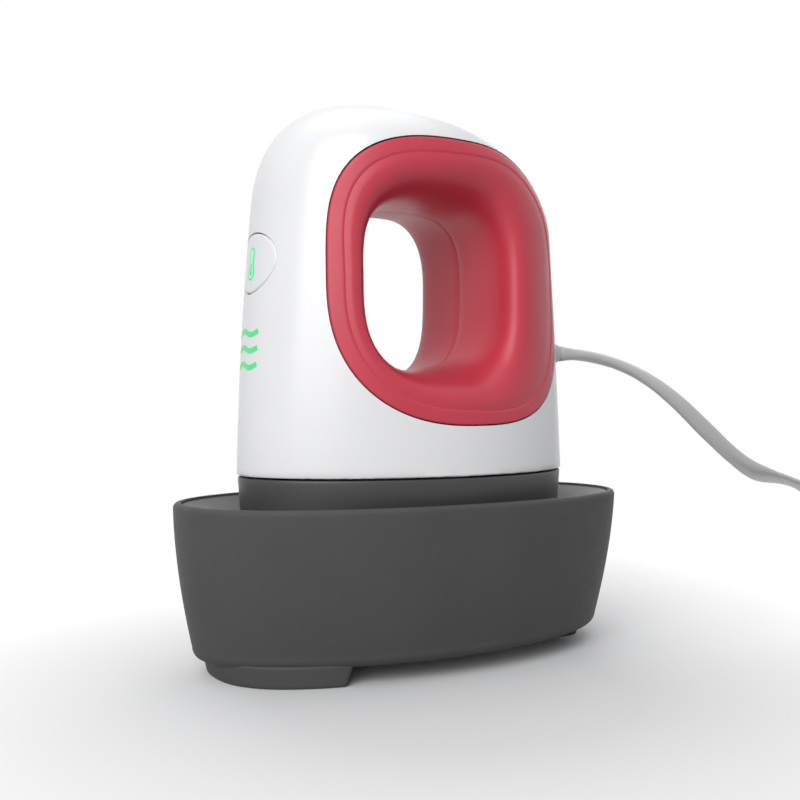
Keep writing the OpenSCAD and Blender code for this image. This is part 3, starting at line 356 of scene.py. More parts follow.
white = plastic("white_gloss_plastic", (0.86, 0.86, 0.865), 0.30, 0.006, coat=0.25, wave=0.01)
red = plastic("raspberry_satin_plastic", (0.58, 0.046, 0.076), 0.40, 0.02, grain=0.05, grain_scale=3200.0,
              specular=0.45)
base_grey = plastic("base_textured_plastic", (0.078, 0.078, 0.079), 0.6, 0.05, grain=0.35, grain_scale=2600.0,
                    specular=0.2)
tray_grey = plastic("tray_textured_plastic", (0.068, 0.068, 0.070), 0.5, 0.05, grain=0.3, grain_scale=2600.0)
skirt_grey = plastic("skirt_satin_plastic", (0.050, 0.050, 0.051), 0.42, 0.04, grain=0.12,
                     grain_scale=2800.0)
cord_grey = plastic("cord_pale_grey_pvc", (0.60, 0.60, 0.595), 0.34, 0.03, grain=0.06, grain_scale=900.0)
plug_grey = plastic("plug_pale_grey_pvc", (0.56, 0.56, 0.555), 0.5, 0.03, grain=0.2, grain_scale=1500.0)
symbol_green = glowing("symbol_green", (0.095, 0.76, 0.29), 0.12)
symbol_pale = glowing("symbol_pale_green", (0.42, 0.98, 0.66), 0.1)
coating = plastic("plate_nonstick_coating", (0.03, 0.03, 0.032), 0.36, 0.12, grain=0.25, grain_scale=1800.0)
sheath = metal("element_sheath_steel", (0.42, 0.38, 0.33), 0.35, (900, 40, 40), tint=(0.36, 0.3, 0.28))
steel = metal("rolled_steel", (0.58, 0.58, 0.6), 0.28)
zinc = metal("zinc_plated_steel", (0.55, 0.55, 0.58), 0.25, (400, 400, 80))
nickel = metal("nickel_plated_blade", (0.62, 0.6, 0.55), 0.2, (900, 60, 60))
ceramic = plastic("unglazed_ceramic", (0.78, 0.75, 0.68), 0.7, 0.06, grain=0.3, grain_scale=900.0)
lacquer = plastic("sensor_lacquer", (0.5, 0.24, 0.05), 0.25, 0.1, coat=0.4)
lead_red = plastic("lead_insulation", (0.42, 0.03, 0.03), 0.5, 0.05, grain=0.1)
lead_brown = plastic("lead_brown_insulation", (0.12, 0.045, 0.02), 0.5, 0.05, grain=0.1)
block_green = plastic("terminal_block_plastic", (0.03, 0.24, 0.08), 0.45, 0.05, grain=0.1)
tape = plastic("yellow_tape", (0.72, 0.52, 0.05), 0.35, 0.06, wave=0.2)
black = plastic("black_moulded_plastic", (0.018, 0.018, 0.019), 0.45, 0.1, grain=0.2)
ribbon_grey = plastic("ribbon_lead_grey", (0.38, 0.38, 0.4), 0.45, 0.04, wave=0.3)
plunger_white = plastic("plunger_plastic", (0.66, 0.66, 0.66), 0.35, 0.03)
silicone = plastic("black_silicone", (0.02, 0.02, 0.021), 0.6, 0.08, grain=0.15)

fibre = Nodes("mineral_felt")
fibre_noise = fibre.noise(900.0, 5.0, 0.7, (1, 1, 6))
fibre.link(fibre.ramp(fibre_noise, [(0.3, (0.62, 0.58, 0.5)), (0.7, (0.86, 0.83, 0.76))]),
           fibre.shader.inputs["Base Color"])
fibre.link(fibre.bump(fibre_noise, 0.8, 0.0002), fibre.shader.inputs["Normal"])
fibre.shader.inputs["Roughness"].default_value = 0.95
fibre.shader.inputs["Sheen Weight"].default_value = 0.3
felt = fibre.material

circuit = Nodes("circuit_board")
tracks = circuit.add("ShaderNodeTexBrick", offset=0.37)
tracks.inputs["Scale"].default_value = 320.0
tracks.inputs["Mortar Size"].default_value = 0.035
tracks.inputs["Color1"].default_value = (0.012, 0.13, 0.04, 1)
tracks.inputs["Color2"].default_value = (0.016, 0.16, 0.05, 1)
tracks.inputs["Mortar"].default_value = (0.05, 0.3, 0.1, 1)
circuit.link(circuit.place, tracks.inputs["Vector"])
circuit.link(tracks.outputs["Color"], circuit.shader.inputs["Base Color"])
circuit.link(circuit.spread(circuit.noise(200.0), 0.22, 0.34), circuit.shader.inputs["Roughness"])
circuit.link(circuit.bump(tracks.outputs["Fac"], 0.3, 0.00005), circuit.shader.inputs["Normal"])
board = circuit.material

guide = plastic("translucent_light_guide", (0.7, 0.86, 0.8), 0.3, 0.03, grain=0.1)
guide.node_tree.nodes["Principled BSDF"].inputs["Transmission Weight"].default_value = 0.5

NODE_MATERIALS = {
    "base_screws": zinc, "rest_pads": silicone, "liner_screws": zinc, "skirt_screws": zinc,
    "heat_plate": coating, "heating_element": sheath, "element_clamp": steel, "plate_screws": zinc,
    "insulation_mat": felt, "heat_shield": steel, "standoffs": ceramic, "hanger_screws": zinc,
    "thermistor": lacquer, "thermal_fuse": ceramic, "element_leads": lead_red, "power_board": board,
    "power_board_screws": zinc, "terminal_block": block_green, "transformer": tape,
    "filter_capacitor": tape, "triac": black, "mains_fuse": ceramic, "control_board": board,
    "board_screws": zinc, "ribbon_lead": ribbon_grey, "switch_body": black,
    "switch_plunger": plunger_white, "light_guide": guide, "strain_relief": cord_grey,
    "inner_cord": cord_grey, "cord_clamp": black, "clamp_screws": zinc, "inner_leads": lead_brown,
    "cord_tie": black, "plug_pins": nickel,
    "outer_shell": white, "left_grip_liner": red, "right_grip_liner": red, "lower_skirt": skirt_grey,
    "base_outer_shell": base_grey, "base_inner_tray": tray_grey, "front_foot": base_grey,
    "rear_foot": base_grey, "control_button": white, "cord_run": cord_grey, "cord_coil": cord_grey,
    "cord_tail": cord_grey, "plug_body": plug_grey,
}
for node_name, node_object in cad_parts.items():
    node_object.data.materials.clear()
    node_object.data.materials.append(NODE_MATERIALS[node_name])

# ---- cord --------------------------------------------------------------------------------

CORD_D = 4.3
CORD_Z = 75.5
TIE_LIFT, TIE_WALL, TIE_ROOM = 0.05, 0.9, 0.25
COIL_BOTTOM = TIE_LIFT + TIE_WALL + TIE_ROOM + CORD_D / 2
RUN = np.array([
    (46.6, 0, CORD_Z), (54.8, 0.3, 75.3), (62.6, 1.2, 74.5), (70.4, 1.9, 73), (78.1, 2.5, 70.7),
    (85.6, 3, 67.5), (92.9, 3.7, 63.7), (100.1, 4.6, 59.5), (107.1, 5.8, 55.2), (114.2, 7.3, 51.2),
    (121.3, 9.3, 47.5), (128.4, 11.7, 44.4), (135.6, 14.4, 41.7), (142.9, 17.5, 39.6), (150.3, 20.9, 38),
    (157.7, 24.4, 36.7), (165.2, 28, 35.6), (172.7, 31.5, 34.6), (180.2, 35, 33.5), (187.7, 38.3, 32.2),
    (195.1, 41.3, 30.6), (202.5, 43.9, 28.4), (209.8, 46.1, 25.5), (216.9, 47.9, 22), (224.1, 49.3, 18.1),
    (231.2, 50.5, 14.1), (238.6, 51.4, 10.5), (246.2, 51.6, 7.2), (254, 50.8, 4.8), (261.9, 48.7, 3.6),
    (269, 44.5, COIL_BOTTOM)], float)


def through(points, steps):
    """A smooth curve through points."""
    out = []
    n = len(points)
    for k in range(n - 1):
        p0 = points[k - 1] if k else 2 * points[0] - points[1]
        p1, p2 = points[k], points[k + 1]
        p3 = points[k + 2] if k + 2 < n else 2 * points[-1] - points[-2]
        for s in range(steps):
            t = s / steps
            out.append(0.5 * ((2 * p1) + (p2 - p0) * t + (2 * p0 - 5 * p1 + 4 * p2 - p3) * t * t
                              + (3 * p1 - p0 - 3 * p2 + p3) * t ** 3))
    out.append(points[-1])
    return out


LAYER_TURNS, INNER_R, PITCH, LAYERS, START_ANGLE = 2.354, 19.6, 4.8, 4, 60.0
OUTER_R = INNER_R + LAYER_TURNS * PITCH
SWING = 360 * LAYER_TURNS
start_angle = math.radians(START_ANGLE)
coil_start = RUN[-1] + CORD_D * np.array([math.sin(start_angle), -math.cos(start_angle), 0])
coil_middle = coil_start - OUTER_R * np.array([math.cos(start_angle), math.sin(start_angle), 0])


def coil_at(turn):
    """A place in the coil: it spirals in and out again, and climbs a layer in the half turn between."""
    swing = turn / SWING
    back = abs(swing - 2 * round(swing / 2))
    radius = OUTER_R - (OUTER_R - INNER_R) * back
    rise = sum(float(smooth((turn - k * SWING + 90) / 180)) for k in range(1, LAYERS))
    angle = math.radians(START_ANGLE - turn)
    return coil_middle + np.array([radius * math.cos(angle), radius * math.sin(angle), PITCH * rise])


COIL_TURN, COIL_STEPS = LAYERS * SWING, 560
coil_points = [coil_at(COIL_TURN * k / COIL_STEPS) for k in range(COIL_STEPS + 1)]
end_angle = math.radians(START_ANGLE - COIL_TURN)
end_way = np.array([math.sin(end_angle), -math.cos(end_angle), 0])
coil_end = coil_points[-1] + CORD_D * end_way
PLUG_AXIS = 7.1
TAIL_L = 38
tail_points = []
for t in np.linspace(0, 1, 17):
    rise = (PLUG_AXIS - coil_end[2]) * float(smooth((t - 0.08) / 0.84))
    tail_points.append(coil_end + TAIL_L * t * end_way + np.array([0, 0, rise]))
tail_end = tail_points[-1]
cord_path = np.array(through(RUN, 4) + coil_points + tail_points)


OVAL_POWER = 0.9


def tube(name, path, widths, turns_along, sides, material):
    """A tube along a path, closed at both ends.

    Each place on the path has a width, a thickness and a turn about the path.
    """
    path = np.asarray(path)
    ahead = np.gradient(path, axis=0)
    ahead /= np.linalg.norm(ahead, axis=1)[:, None]
    side = np.cross([0, 0, 1.0], ahead)
    side /= np.linalg.norm(side, axis=1)[:, None]
    up = np.cross(ahead, side)
    t = full_turn(sides)
    rings = []
    for p, s, u, (wide, thick), turn in zip(path, side, up, widths, turns_along):
        c, d = math.cos(turn), math.sin(turn)
        rings.append(p + np.outer(wide / 2 * power(np.cos(t), OVAL_POWER), c * s + d * u)
                     + np.outer(thick / 2 * np.sin(t), c * u - d * s))
    return loft(name, rings, material, cap_start=True, cap_end=True)


# The sheath is an oval that twists half a turn, in two quarters, and is round again where the coil starts
QUARTER_L, SECOND_QUARTER = 75, 85
FLAT_START_L, FLAT_END, FLAT_END_L = 6, 225, 20
OVAL_WIDER, OVAL_THINNER = 1.5, 1.15
along = np.concatenate([[0], np.cumsum(np.linalg.norm(np.diff(cord_path, axis=0), axis=1))])
twist = math.pi * (0.5 * smooth(along / QUARTER_L) + 0.5 * smooth((along - SECOND_QUARTER) / QUARTER_L))
flatten = smooth(along / FLAT_START_L) * (1 - smooth((along - FLAT_END) / FLAT_END_L))
sheath_widths = np.column_stack([CORD_D + OVAL_WIDER * flatten, CORD_D - OVAL_THINNER * flatten])
lead = tube("mains_lead", cord_path, sheath_widths, twist, 24, cord_grey)
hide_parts("cord_run", "cord_coil", "cord_tail")

# The plug: a ribbed neck and a moulded body with a waist and finger grooves. Each level has its place
# from the cord's end, its half width, its half height and its roundness.
PLUG_L = 32.0
RIB_COUNT, RIB_START, RIB_STEP = 5, 0.6, 2.3
plug_profile = [(0.0, 3.05, 3.05, 2.0)]
for k in range(RIB_COUNT):
    x = RIB_START + k * RIB_STEP
    for ahead, r in ((0, 3.5), (0.2, 3.7), (1.2, 3.7), (1.4, 3.5), (1.5, 3.0), (2.2, 3.0)):
        plug_profile.append((x + ahead, r, r, 2.0))
for share, w, h, n in [(0.38, 4.4, 4.0, 2.1), (0.41, 6.2, 4.9, 2.3), (0.45, 8.2, 5.8, 2.6),
                       (0.50, 9.7, 6.5, 2.9), (0.56, 10.6, 6.85, 3.2), (0.64, 10.9, 6.6, 3.4),
                       (0.72, 10.9, 6.45, 3.4), (0.80, 10.95, 6.65, 3.4), (0.86, 11.0, 6.95, 3.4),
                       (0.90, 11.0, 7.0, 3.4), (0.975, 11.0, 7.0, 3.4)]:
    plug_profile.append((share * PLUG_L, w, h, n))
plug_profile += [(PLUG_L - 0.4, 10.85, 6.85, 3.4), (PLUG_L - 0.1, 10.5, 6.5, 3.4),
                 (PLUG_L, 10.0, 6.0, 3.4)]
side_way = np.array([-end_way[1], end_way[0], 0.0])
plug_rings = []
for level, w, h, n in plug_profile:
    flat = oval(w, h, n, 0, 0, 96)
    ring = tail_end + end_way * level + flat[:, :1] * side_way + flat[:, 1:2] * np.array([0, 0, 1.0])
    plug_rings.append(ring)
plug = loft("plug_moulding", plug_rings, plug_grey, cap_start=True, cap_end=True)
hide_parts("plug_body")
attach(plug, "base")

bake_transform(lead)

# ---- the press's body --------------------------------------------------------------------

SEAM, TOP = 45.5, 132.6
NOSE, TAIL = 44.8, 43.8
NOSE_LEAN, TAIL_LEAN = 6.8, 7.3
NOSE_BULGE, TAIL_BULGE = 1.2, 0.4
NOSE_CORNER, TAIL_CORNER = (17.5, 24.0), (45.0, 28.5)
NOSE_CORNER_N = 2.2
HALF_W, SIDE_LEAN, CROWN_H, CROWN_N = 26.5, 1.6, 14.8, 2.5
SEAM_N, TOP_N = 1.92, 2.16
SHELL_WALL = 2.2
MIDDLE = (TAIL - NOSE) / 2


def body_at(z, inset=0.0):
    """The body's outline at a height: its middle, half length, half width and roundness."""
    z = np.asarray(z, float)
    lean = (z - SEAM) / (TOP - SEAM)
    top = TOP - inset
    bow = 4 * lean * (1 - lean)
    front = (-NOSE + inset + NOSE_LEAN * lean - NOSE_BULGE * bow
             + NOSE_CORNER[0] * (1 - corner((z - top + NOSE_CORNER[1]) / NOSE_CORNER[1], NOSE_CORNER_N)))
    rear = (TAIL - inset - TAIL_LEAN * lean + TAIL_BULGE * bow
            - TAIL_CORNER[0] * (1 - corner((z - top + TAIL_CORNER[1]) / TAIL_CORNER[1])))
    half = (HALF_W - inset - SIDE_LEAN * lean) * corner((z - top + CROWN_H) / CROWN_H, CROWN_N)
    return (front + rear) / 2, (rear - front) / 2, half, SEAM_N + (TOP_N - SEAM_N) * lean


def side_at(x, z):
    """Half the body's width at places along it and heights."""
    m, a, b, n = body_at(z)
    return b * np.maximum(0, 1 - np.minimum(1, np.abs(x - m) / a) ** n) ** (1 / n)


def nose_at(y, z):
    """The nose's place along X at places across it and heights."""
    m, a, b, n = body_at(z)
    return m - a * np.maximum(0, 1 - np.minimum(1, np.abs(y) / b) ** n) ** (1 / n)


def body_ring(z, inset, count):
    m, a, b, n = (float(v) for v in body_at(z, inset))
    return oval(a, max(b, 0.02), n, z, m, count)


# The levels crowd towards the top, where the walls turn over, and stop just short of it
SHELL_SIDES, SHELL_LEVELS, LINING_LEVELS = 224, 110, 30
SHELL_TURN, LINING_TURN = 89.6, 88.0
SHELL_ROUND = 0.45
outside = [body_ring(SEAM, SHELL_ROUND, SHELL_SIDES), body_ring(SEAM + 0.12, 0.16, SHELL_SIDES)]
low = SEAM + SHELL_ROUND
for k in range(SHELL_LEVELS + 1):
    climb = math.sin(math.radians(SHELL_TURN * k / SHELL_LEVELS))
    outside.append(body_ring(low + (TOP - low) * climb, 0.0, SHELL_SIDES))
inside = []
ceiling = TOP - SHELL_WALL
for k in range(LINING_LEVELS + 1):
    climb = math.sin(math.radians(LINING_TURN * k / LINING_LEVELS))
    inside.append(body_ring(SEAM + (ceiling - SEAM) * climb, SHELL_WALL, SHELL_SIDES))
shell = loft("white_shell", inside[::-1] + outside, white, cap_start=True, cap_end=True)

GRIP_MID = np.array([2.5, 90.0])
GRIP_FRONT, GRIP_REAR, GRIP_UP, GRIP_DOWN = 34.0, 34.0, 33.0, 32.7
UPPER_FRONT_N, UPPER_REAR_N, LOWER_REAR_N, LOWER_FRONT_N = 3.6, 2.5, 2.85, 2.5
THROAT_MID = np.array([-2.6, 89.9])
THROAT_HALF = (17.8, 19.6)
THROAT_N = 3.2
ROLL_FRONT, ROLL_REAR, ROLL_TOP, ROLL_BOTTOM = 2.6, 6.4, 2.7, 2.7
BAND = 3.6


def grip_edge(t, grow=0.0):
    """Points of the liners' outline in the XZ plane at turns t, in radians."""
    c, s = np.cos(t), np.sin(t)
    n = np.where(s >= 0, np.where(c >= 0, UPPER_REAR_N, UPPER_FRONT_N),
                 np.where(c >= 0, LOWER_REAR_N, LOWER_FRONT_N))
    a = np.where(c >= 0, GRIP_REAR, GRIP_FRONT) + grow
    b = np.where(s >= 0, GRIP_UP, GRIP_DOWN) + grow
    return np.column_stack([GRIP_MID[0] + a * power(c, 2 / n), GRIP_MID[1] + b * power(s, 2 / n)])


def throat_edge(t, grow=0.0):
    """Points of the finger hole's outline in the XZ plane at turns t."""
    return np.column_stack([THROAT_MID[0] + (THROAT_HALF[0] + grow) * power(np.cos(t), 2 / THROAT_N),
                            THROAT_MID[1] + (THROAT_HALF[1] + grow) * power(np.sin(t), 2 / THROAT_N)])


def prism(name, outline, axis, low, high):
    """A straight prism with the given outline, along Y (outline in XZ) or along X (outline in YZ)."""
    rings = []
    for level in (low, high):
        flat = np.full(len(outline), level)
        if axis == "y":
            rings.append(np.column_stack([outline[:, 0], flat, outline[:, 1]]))
        else:
            rings.append(np.column_stack([flat, outline[:, 0], outline[:, 1]]))
    obj = loft(name, rings, None, cap_start=True, cap_end=True, soft=False)
    change_faces(obj, bmesh.ops.recalc_face_normals)
    return obj


BUTTON_MID, BUTTON_HALF, BUTTON_UP, BUTTON_DOWN = 94.8, 8.7, 6.5, 7.2
BUTTON_UPPER_N, BUTTON_LOWER_N = 2.1, 1.8


def pick_edge(t, grow=0.0):
    """Points of the button's outline in the YZ plane at turns t."""
    s = np.sin(t)
    n = np.where(s >= 0, BUTTON_UPPER_N, BUTTON_LOWER_N)
    b = np.where(s >= 0, BUTTON_UP, BUTTON_DOWN) + grow
    return np.column_stack([(BUTTON_HALF + grow) * power(np.cos(t), 2 / n),
                            BUTTON_MID + b * power(s, 2 / n)])


grip_turns, button_turns = full_turn(288), full_turn(96)
tail_middle, tail_half = body_at(CORD_Z)[:2]
tail_x = float(tail_middle + tail_half)
# Each cutter leaves a fine gap round its part, and reaches well past the wall
GRIP_GAP, BUTTON_GAP = 0.3, 0.34
RELIEF_HOLE_R = 3.35
cutters = [
    prism("grip_cutter", grip_edge(grip_turns, GRIP_GAP), "y", -60, 60),
    prism("button_cutter", pick_edge(button_turns, BUTTON_GAP), "x", -80, -35),
    cylinder(RELIEF_HOLE_R, 30, 60, 0, CORD_Z, axis="x", sides=40, edge=0.01, name="relief_cutter"),
]
cut(shell, cutters)
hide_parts("outer_shell")
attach(shell, "press")

# ---- grip liners -------------------------------------------------------------------------

BAND_DEPTH, BAND_ROUND = 3.0, 0.35
CREASE = 0.22
ROLL_STEPS, ROLL_END_Y, LIP_Y, PARTING_Y = 64, 0.16, 0.09, 0.05
BACK_GROW, BACK_Y = 2.0, 8.0


def liner(name, side, material):
    """One half of the grip liner: its flush band, a soft crease, and the roll into the throat."""
    o, throat = grip_edge(grip_turns), throat_edge(grip_turns)
    d = throat - o
    unit = d / np.linalg.norm(d, axis=1)[:, None]
    band = o + unit * BAND
    c, s = np.cos(grip_turns), np.sin(grip_turns)
    roll_n = (c ** 2 * np.where(c >= 0, ROLL_REAR, ROLL_FRONT)
              + s ** 2 * np.where(s >= 0, ROLL_TOP, ROLL_BOTTOM))
    rows = []

    def row(points, y):
        rows.append(np.column_stack([points[:, 0], np.full(len(points), y), points[:, 1]]))

    def at(points, drop):
        row(points, np.maximum(side_at(points[:, 0], points[:, 1]) - drop, PARTING_Y))

    at(o, BAND_DEPTH)
    at(o, 0.6)
    for a in (10, 35, 60, 85):
        r = math.radians(a)
        at(o + unit * BAND_ROUND * (1 - math.cos(r)), BAND_ROUND * (1 - math.sin(r)))
    for share in (0.2, 0.4, 0.6, 0.75, 0.86):
        at(o + unit * BAND * share, 0.0)
    # The band sinks into the crease, and the roll rises from it
    for share, drop in ((0.90, 0.05), (0.94, 0.14), (0.97, 0.2), (1.0, CREASE)):
        at(o + unit * BAND * share, drop)
    # The roll's steps are even in depth and length, and it turns in a little at the parting line
    for k in range(1, ROLL_STEPS + 1):
        last = k == ROLL_STEPS
        a = math.pi / 2 if last else math.pi / 2 * smooth(k / ROLL_STEPS)
        u = math.sin(a) ** (2 / roll_n)
        g = np.zeros(len(grip_turns)) if last else math.cos(a) ** (2 / roll_n)
        if u.max() < 0.04:
            continue
        p = band + (throat - band) * u[:, None]
        deep = side_at(p[:, 0], p[:, 1]) - CREASE * np.maximum(0.0, 1 - u * 6)
        row(p, ROLL_END_Y + (deep - ROLL_END_Y) * g)
    row(throat_edge(grip_turns, 0.03), LIP_Y)
    row(throat_edge(grip_turns, 0.1), PARTING_Y)
    back = throat_edge(grip_turns, BACK_GROW)
    row(back, PARTING_Y)
    row(back, BACK_Y)
    obj = loft(name, [r * np.array([1, side, 1]) for r in rows], material)
    if side > 0:
        change_faces(obj, bmesh.ops.reverse_faces)
    return obj


left_liner = liner("left_liner_skin", -1, red)
right_liner = liner("right_liner_skin", 1, red)
for piece, node_name in ((left_liner, "left_grip_liner"), (right_liner, "right_grip_liner")):
    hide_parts(node_name)
    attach(piece, "press")

# ---- button and symbols ------------------------------------------------------------------


def on_nose(points, drop):
    """Points on the nose at rows of (y, z), sunk into it by a drop or raised where the drop is below 0."""
    return np.column_stack([nose_at(points[:, 0], points[:, 1]) + drop, points[:, 0], points[:, 1]])


def button_row(share):
    middle = np.array([0, BUTTON_MID])
    return middle + (pick_edge(button_turns) - middle) * share


FACE_LEVELS = [(0.03, 0), (0.15, 0), (0.3, 0), (0.45, 0), (0.6, 0), (0.75, 0), (0.88, 0), (0.955, 0),
               (0.985, 0.05), (1.0, 0.2), (1.0, 0.8), (1.0, 2.8)]
FLANGE_GROW, FLANGE_FRONT, FLANGE_REAR, BUTTON_BACK = 1.0, 2.8, 3.7, 4.0
flange = pick_edge(button_turns, FLANGE_GROW)
rings = [on_nose(button_row(share), drop) for share, drop in FACE_LEVELS]
rings += [on_nose(flange, FLANGE_FRONT), on_nose(flange, FLANGE_REAR), on_nose(button_row(0.4), BUTTON_BACK)]
button = loft("pick_button", rings, white, cap_start=True)
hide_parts("control_button")
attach(button, "button")


def strip(name, center, width, material, lift):
    """A painted stroke of a given width that follows the nose along a line of (y, z) points."""
    ahead = np.gradient(center, axis=0)
    ahead /= np.linalg.norm(ahead, axis=1)[:, None]
    side = np.column_stack([-ahead[:, 1], ahead[:, 0]])
    left, right = center + side * width / 2, center - side * width / 2
    across = [on_nose(left + (right - left) * k / 4, -lift) for k in range(5)]
    return new_mesh(name, np.vstack(across), grid_faces(5, len(center), closed=False), material)


WAVE_HEIGHTS, WAVE_W = (70.95, 74.75, 78.5), 1.25
waves = []
for k, z0 in enumerate(WAVE_HEIGHTS):
    y = np.linspace(-4.9, 5.2, 48)
    # The wave's crest lies on one side and its trough on the other, like a tilde
    z = z0 - 0.08 + 0.46 * np.sin((y + 0.3) / 4.5 * math.pi * 1.2)
    waves.append(strip(f"wave_symbol_{k}", np.column_stack([y, z]), WAVE_W, symbol_green, 0.04))
wave_symbols = join("wave_symbols", waves)
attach(wave_symbols, "press")


def thermometer(stem_half, bulb_r, low, high, material, lift, name):
    """A thermometer's outline: a stem with a round top and a bulb at its foot."""
    join_z = low + bulb_r + math.sqrt(bulb_r ** 2 - stem_half ** 2)
    neck = math.asin(stem_half / bulb_r)
    points = []
    for a in np.linspace(math.pi / 2 + neck, math.pi * 2.5 - neck, 40):
        points.append((bulb_r * math.cos(a), low + bulb_r + bulb_r * math.sin(a)))
    for z in np.linspace(join_z, high - stem_half, 12)[1:]:
        points.append((stem_half, z))
    for a in np.linspace(0, math.pi, 20)[1:]:
        points.append((stem_half * math.cos(a), high - stem_half + stem_half * math.sin(a)))
    for z in np.linspace(high - stem_half, join_z, 12)[1:-1]:
        points.append((-stem_half, z))
    outline = np.array(points)
    spine = np.column_stack([np.zeros(len(outline)),
                             np.clip(outline[:, 1], low + bulb_r, high - stem_half)])
    rings = [on_nose(spine + (outline - spine) * share, -lift) for share in (0.02, 0.5, 1.0)]
    return loft(name, rings, material)


thermo_edge = thermometer(1.3, 1.75, 90.55, 98.2, symbol_green, 0.03, "thermometer_edge")
thermo_fill = thermometer(0.88, 1.3, 91.0, 97.78, symbol_pale, 0.05, "thermometer_fill")
thermo_core = thermometer(0.24, 0.62, 91.6, 94.6, symbol_green, 0.07, "thermometer_core")
thermo = join("thermometer_symbol", [thermo_edge, thermo_fill, thermo_core])
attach(thermo, "button")

# ---- skirt -------------------------------------------------------------------------------

PLATE_A, PLATE_B, PLATE_N = 41.5, 22.5, 2.0
PLATE_FACE, PLATE_RIM, SKIRT_LIFT = 12, 3.7, 0.3
SKIRT_FOOT, SKIRT_TOP = PLATE_FACE + PLATE_RIM + SKIRT_LIFT, SEAM - 0.4
SKIRT_COVER, SKIRT_MARGIN, SKIRT_FLARE, SKIRT_WALL = 0.8, 0.2, 1.3, 2.0
BULKHEAD_TOP, BULKHEAD_UNDER = 31, 29
POST_R, POST_X, POST_Y = 3.6, 26.5, 12.5
HALF_L = (TAIL + NOSE) / 2


def skirt_ring(inset, z, count=224):
    s = float(clamp01((z - SKIRT_FOOT) / (SEAM - SKIRT_FOOT))) ** SKIRT_FLARE
    a = (PLATE_A + SKIRT_COVER) * (1 - s) + (HALF_L - SKIRT_MARGIN) * s - inset
    b = (PLATE_B + SKIRT_COVER) * (1 - s) + (HALF_W - SKIRT_MARGIN) * s - inset
    return oval(a, b, PLATE_N + (SEAM_N - PLATE_N) * s, z, MIDDLE, count)


rings = [skirt_ring(SKIRT_WALL, SKIRT_FOOT), skirt_ring(0.6, SKIRT_FOOT),
         skirt_ring(0.18, SKIRT_FOOT + 0.18), skirt_ring(0, SKIRT_FOOT + 0.6)]
rings += [skirt_ring(0, z) for z in np.linspace(SKIRT_FOOT + 1, SKIRT_TOP - 0.5, 40)]
rings += [skirt_ring(0.04, SKIRT_TOP - 0.25), skirt_ring(0.15, SKIRT_TOP - 0.07),
          skirt_ring(0.4, SKIRT_TOP)]
rings += [skirt_ring(SKIRT_WALL, z) for z in np.linspace(SKIRT_TOP, BULKHEAD_TOP, 6)]
rings += [skirt_ring(10, BULKHEAD_TOP), skirt_ring(20, BULKHEAD_TOP)]
skirt = loft("skirt_skin", rings, skirt_grey, cap_end=True)
under = [skirt_ring(SKIRT_WALL, z) for z in (SKIRT_FOOT, 22, BULKHEAD_UNDER)]
under.append(skirt_ring(12, BULKHEAD_UNDER))
underside = loft("skirt_underside", under, skirt_grey, cap_end=True)
posts = [cylinder(POST_R, BULKHEAD_TOP - 0.5, SEAM, MIDDLE + sx * POST_X, sy * POST_Y, material=skirt_grey)
         for sx, sy in CORNERS]
skirt = join("skirt_skin", [skirt, underside] + posts)
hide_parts("lower_skirt")
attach(skirt, "press")

# ---- base --------------------------------------------------------------------------------

RIM_A, RIM_B, RIM_N, BOTTOM_N = 59.5, 31.5, 2.25, 1.95
RIM_Z, FOOT_H, LIP = 39.5, 4.2, 1.2
DRAW_IN, CORNER_IN, CORNER_H = 3.8, 2.4, 2.6
BASE_WALL, BASE_FLOOR = 1.8, 2.0
EDGE_Z = RIM_Z - LIP
CORNER_TOP = FOOT_H + CORNER_H
BASE_SIDES = 256


def base_inset(z):
    """How far the base's wall is drawn in at a height."""
    return (DRAW_IN * float(clamp01((EDGE_Z - z) / (EDGE_Z - CORNER_TOP))) ** 1.8
            + CORNER_IN * (1 - float(corner((CORNER_TOP - z) / CORNER_H))))


def base_ring(inset, z):
    n = BOTTOM_N + (RIM_N - BOTTOM_N) * float(clamp01((z - FOOT_H) / (RIM_Z - FOOT_H)))
    return oval(RIM_A - inset, RIM_B - inset, n, z, 0, BASE_SIDES)


rings = []
for a in np.linspace(0, 88, 10):
    z = CORNER_TOP - CORNER_H * math.cos(math.radians(a))
    rings.append(base_ring(base_inset(z), z))
rings += [base_ring(base_inset(z), z) for z in np.linspace(CORNER_TOP, EDGE_Z, 36)]
for a in np.linspace(12, 90, 9):
    r = math.radians(a)
    rings.append(base_ring(LIP * (1 - math.cos(r)), EDGE_Z + LIP * math.sin(r)))
rings += [base_ring(BASE_WALL - 0.2, RIM_Z), base_ring(BASE_WALL - 0.05, RIM_Z - 0.06),
          base_ring(BASE_WALL, RIM_Z - 0.25)]
floor_z = FOOT_H + BASE_FLOOR
inner_low = CORNER_TOP + 0.2
rings += [base_ring(base_inset(z) + BASE_WALL, z) for z in np.linspace(EDGE_Z, inner_low, 12)]
rings.append(base_ring(base_inset(inner_low) + BASE_WALL + 1, floor_z))
base_shell = loft("base_shell_skin", rings, base_grey, cap_start=True, cap_end=True)
BASE_SCREW_X, BASE_SCREW_Y, SCREW_HOLE_R = 20, 12, 1.7
holes = [cylinder(SCREW_HOLE_R, FOOT_H - 1, floor_z + 1, sx * BASE_SCREW_X, sy * BASE_SCREW_Y, edge=0.01,
                  name="hole_cutter") for sx, sy in CORNERS]
cut(base_shell, holes)
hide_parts("base_outer_shell")
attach(base_shell, "base")

TRAY_EDGE = RIM_Z - 0.5
DISH_DEPTH, BRIM_ROUND = 5.0, 1.2
WELL_BRIM = TRAY_EDGE - DISH_DEPTH
WELL_FLOOR = 10.0
TRAY_WALL = 1.6
GAP = 1.0


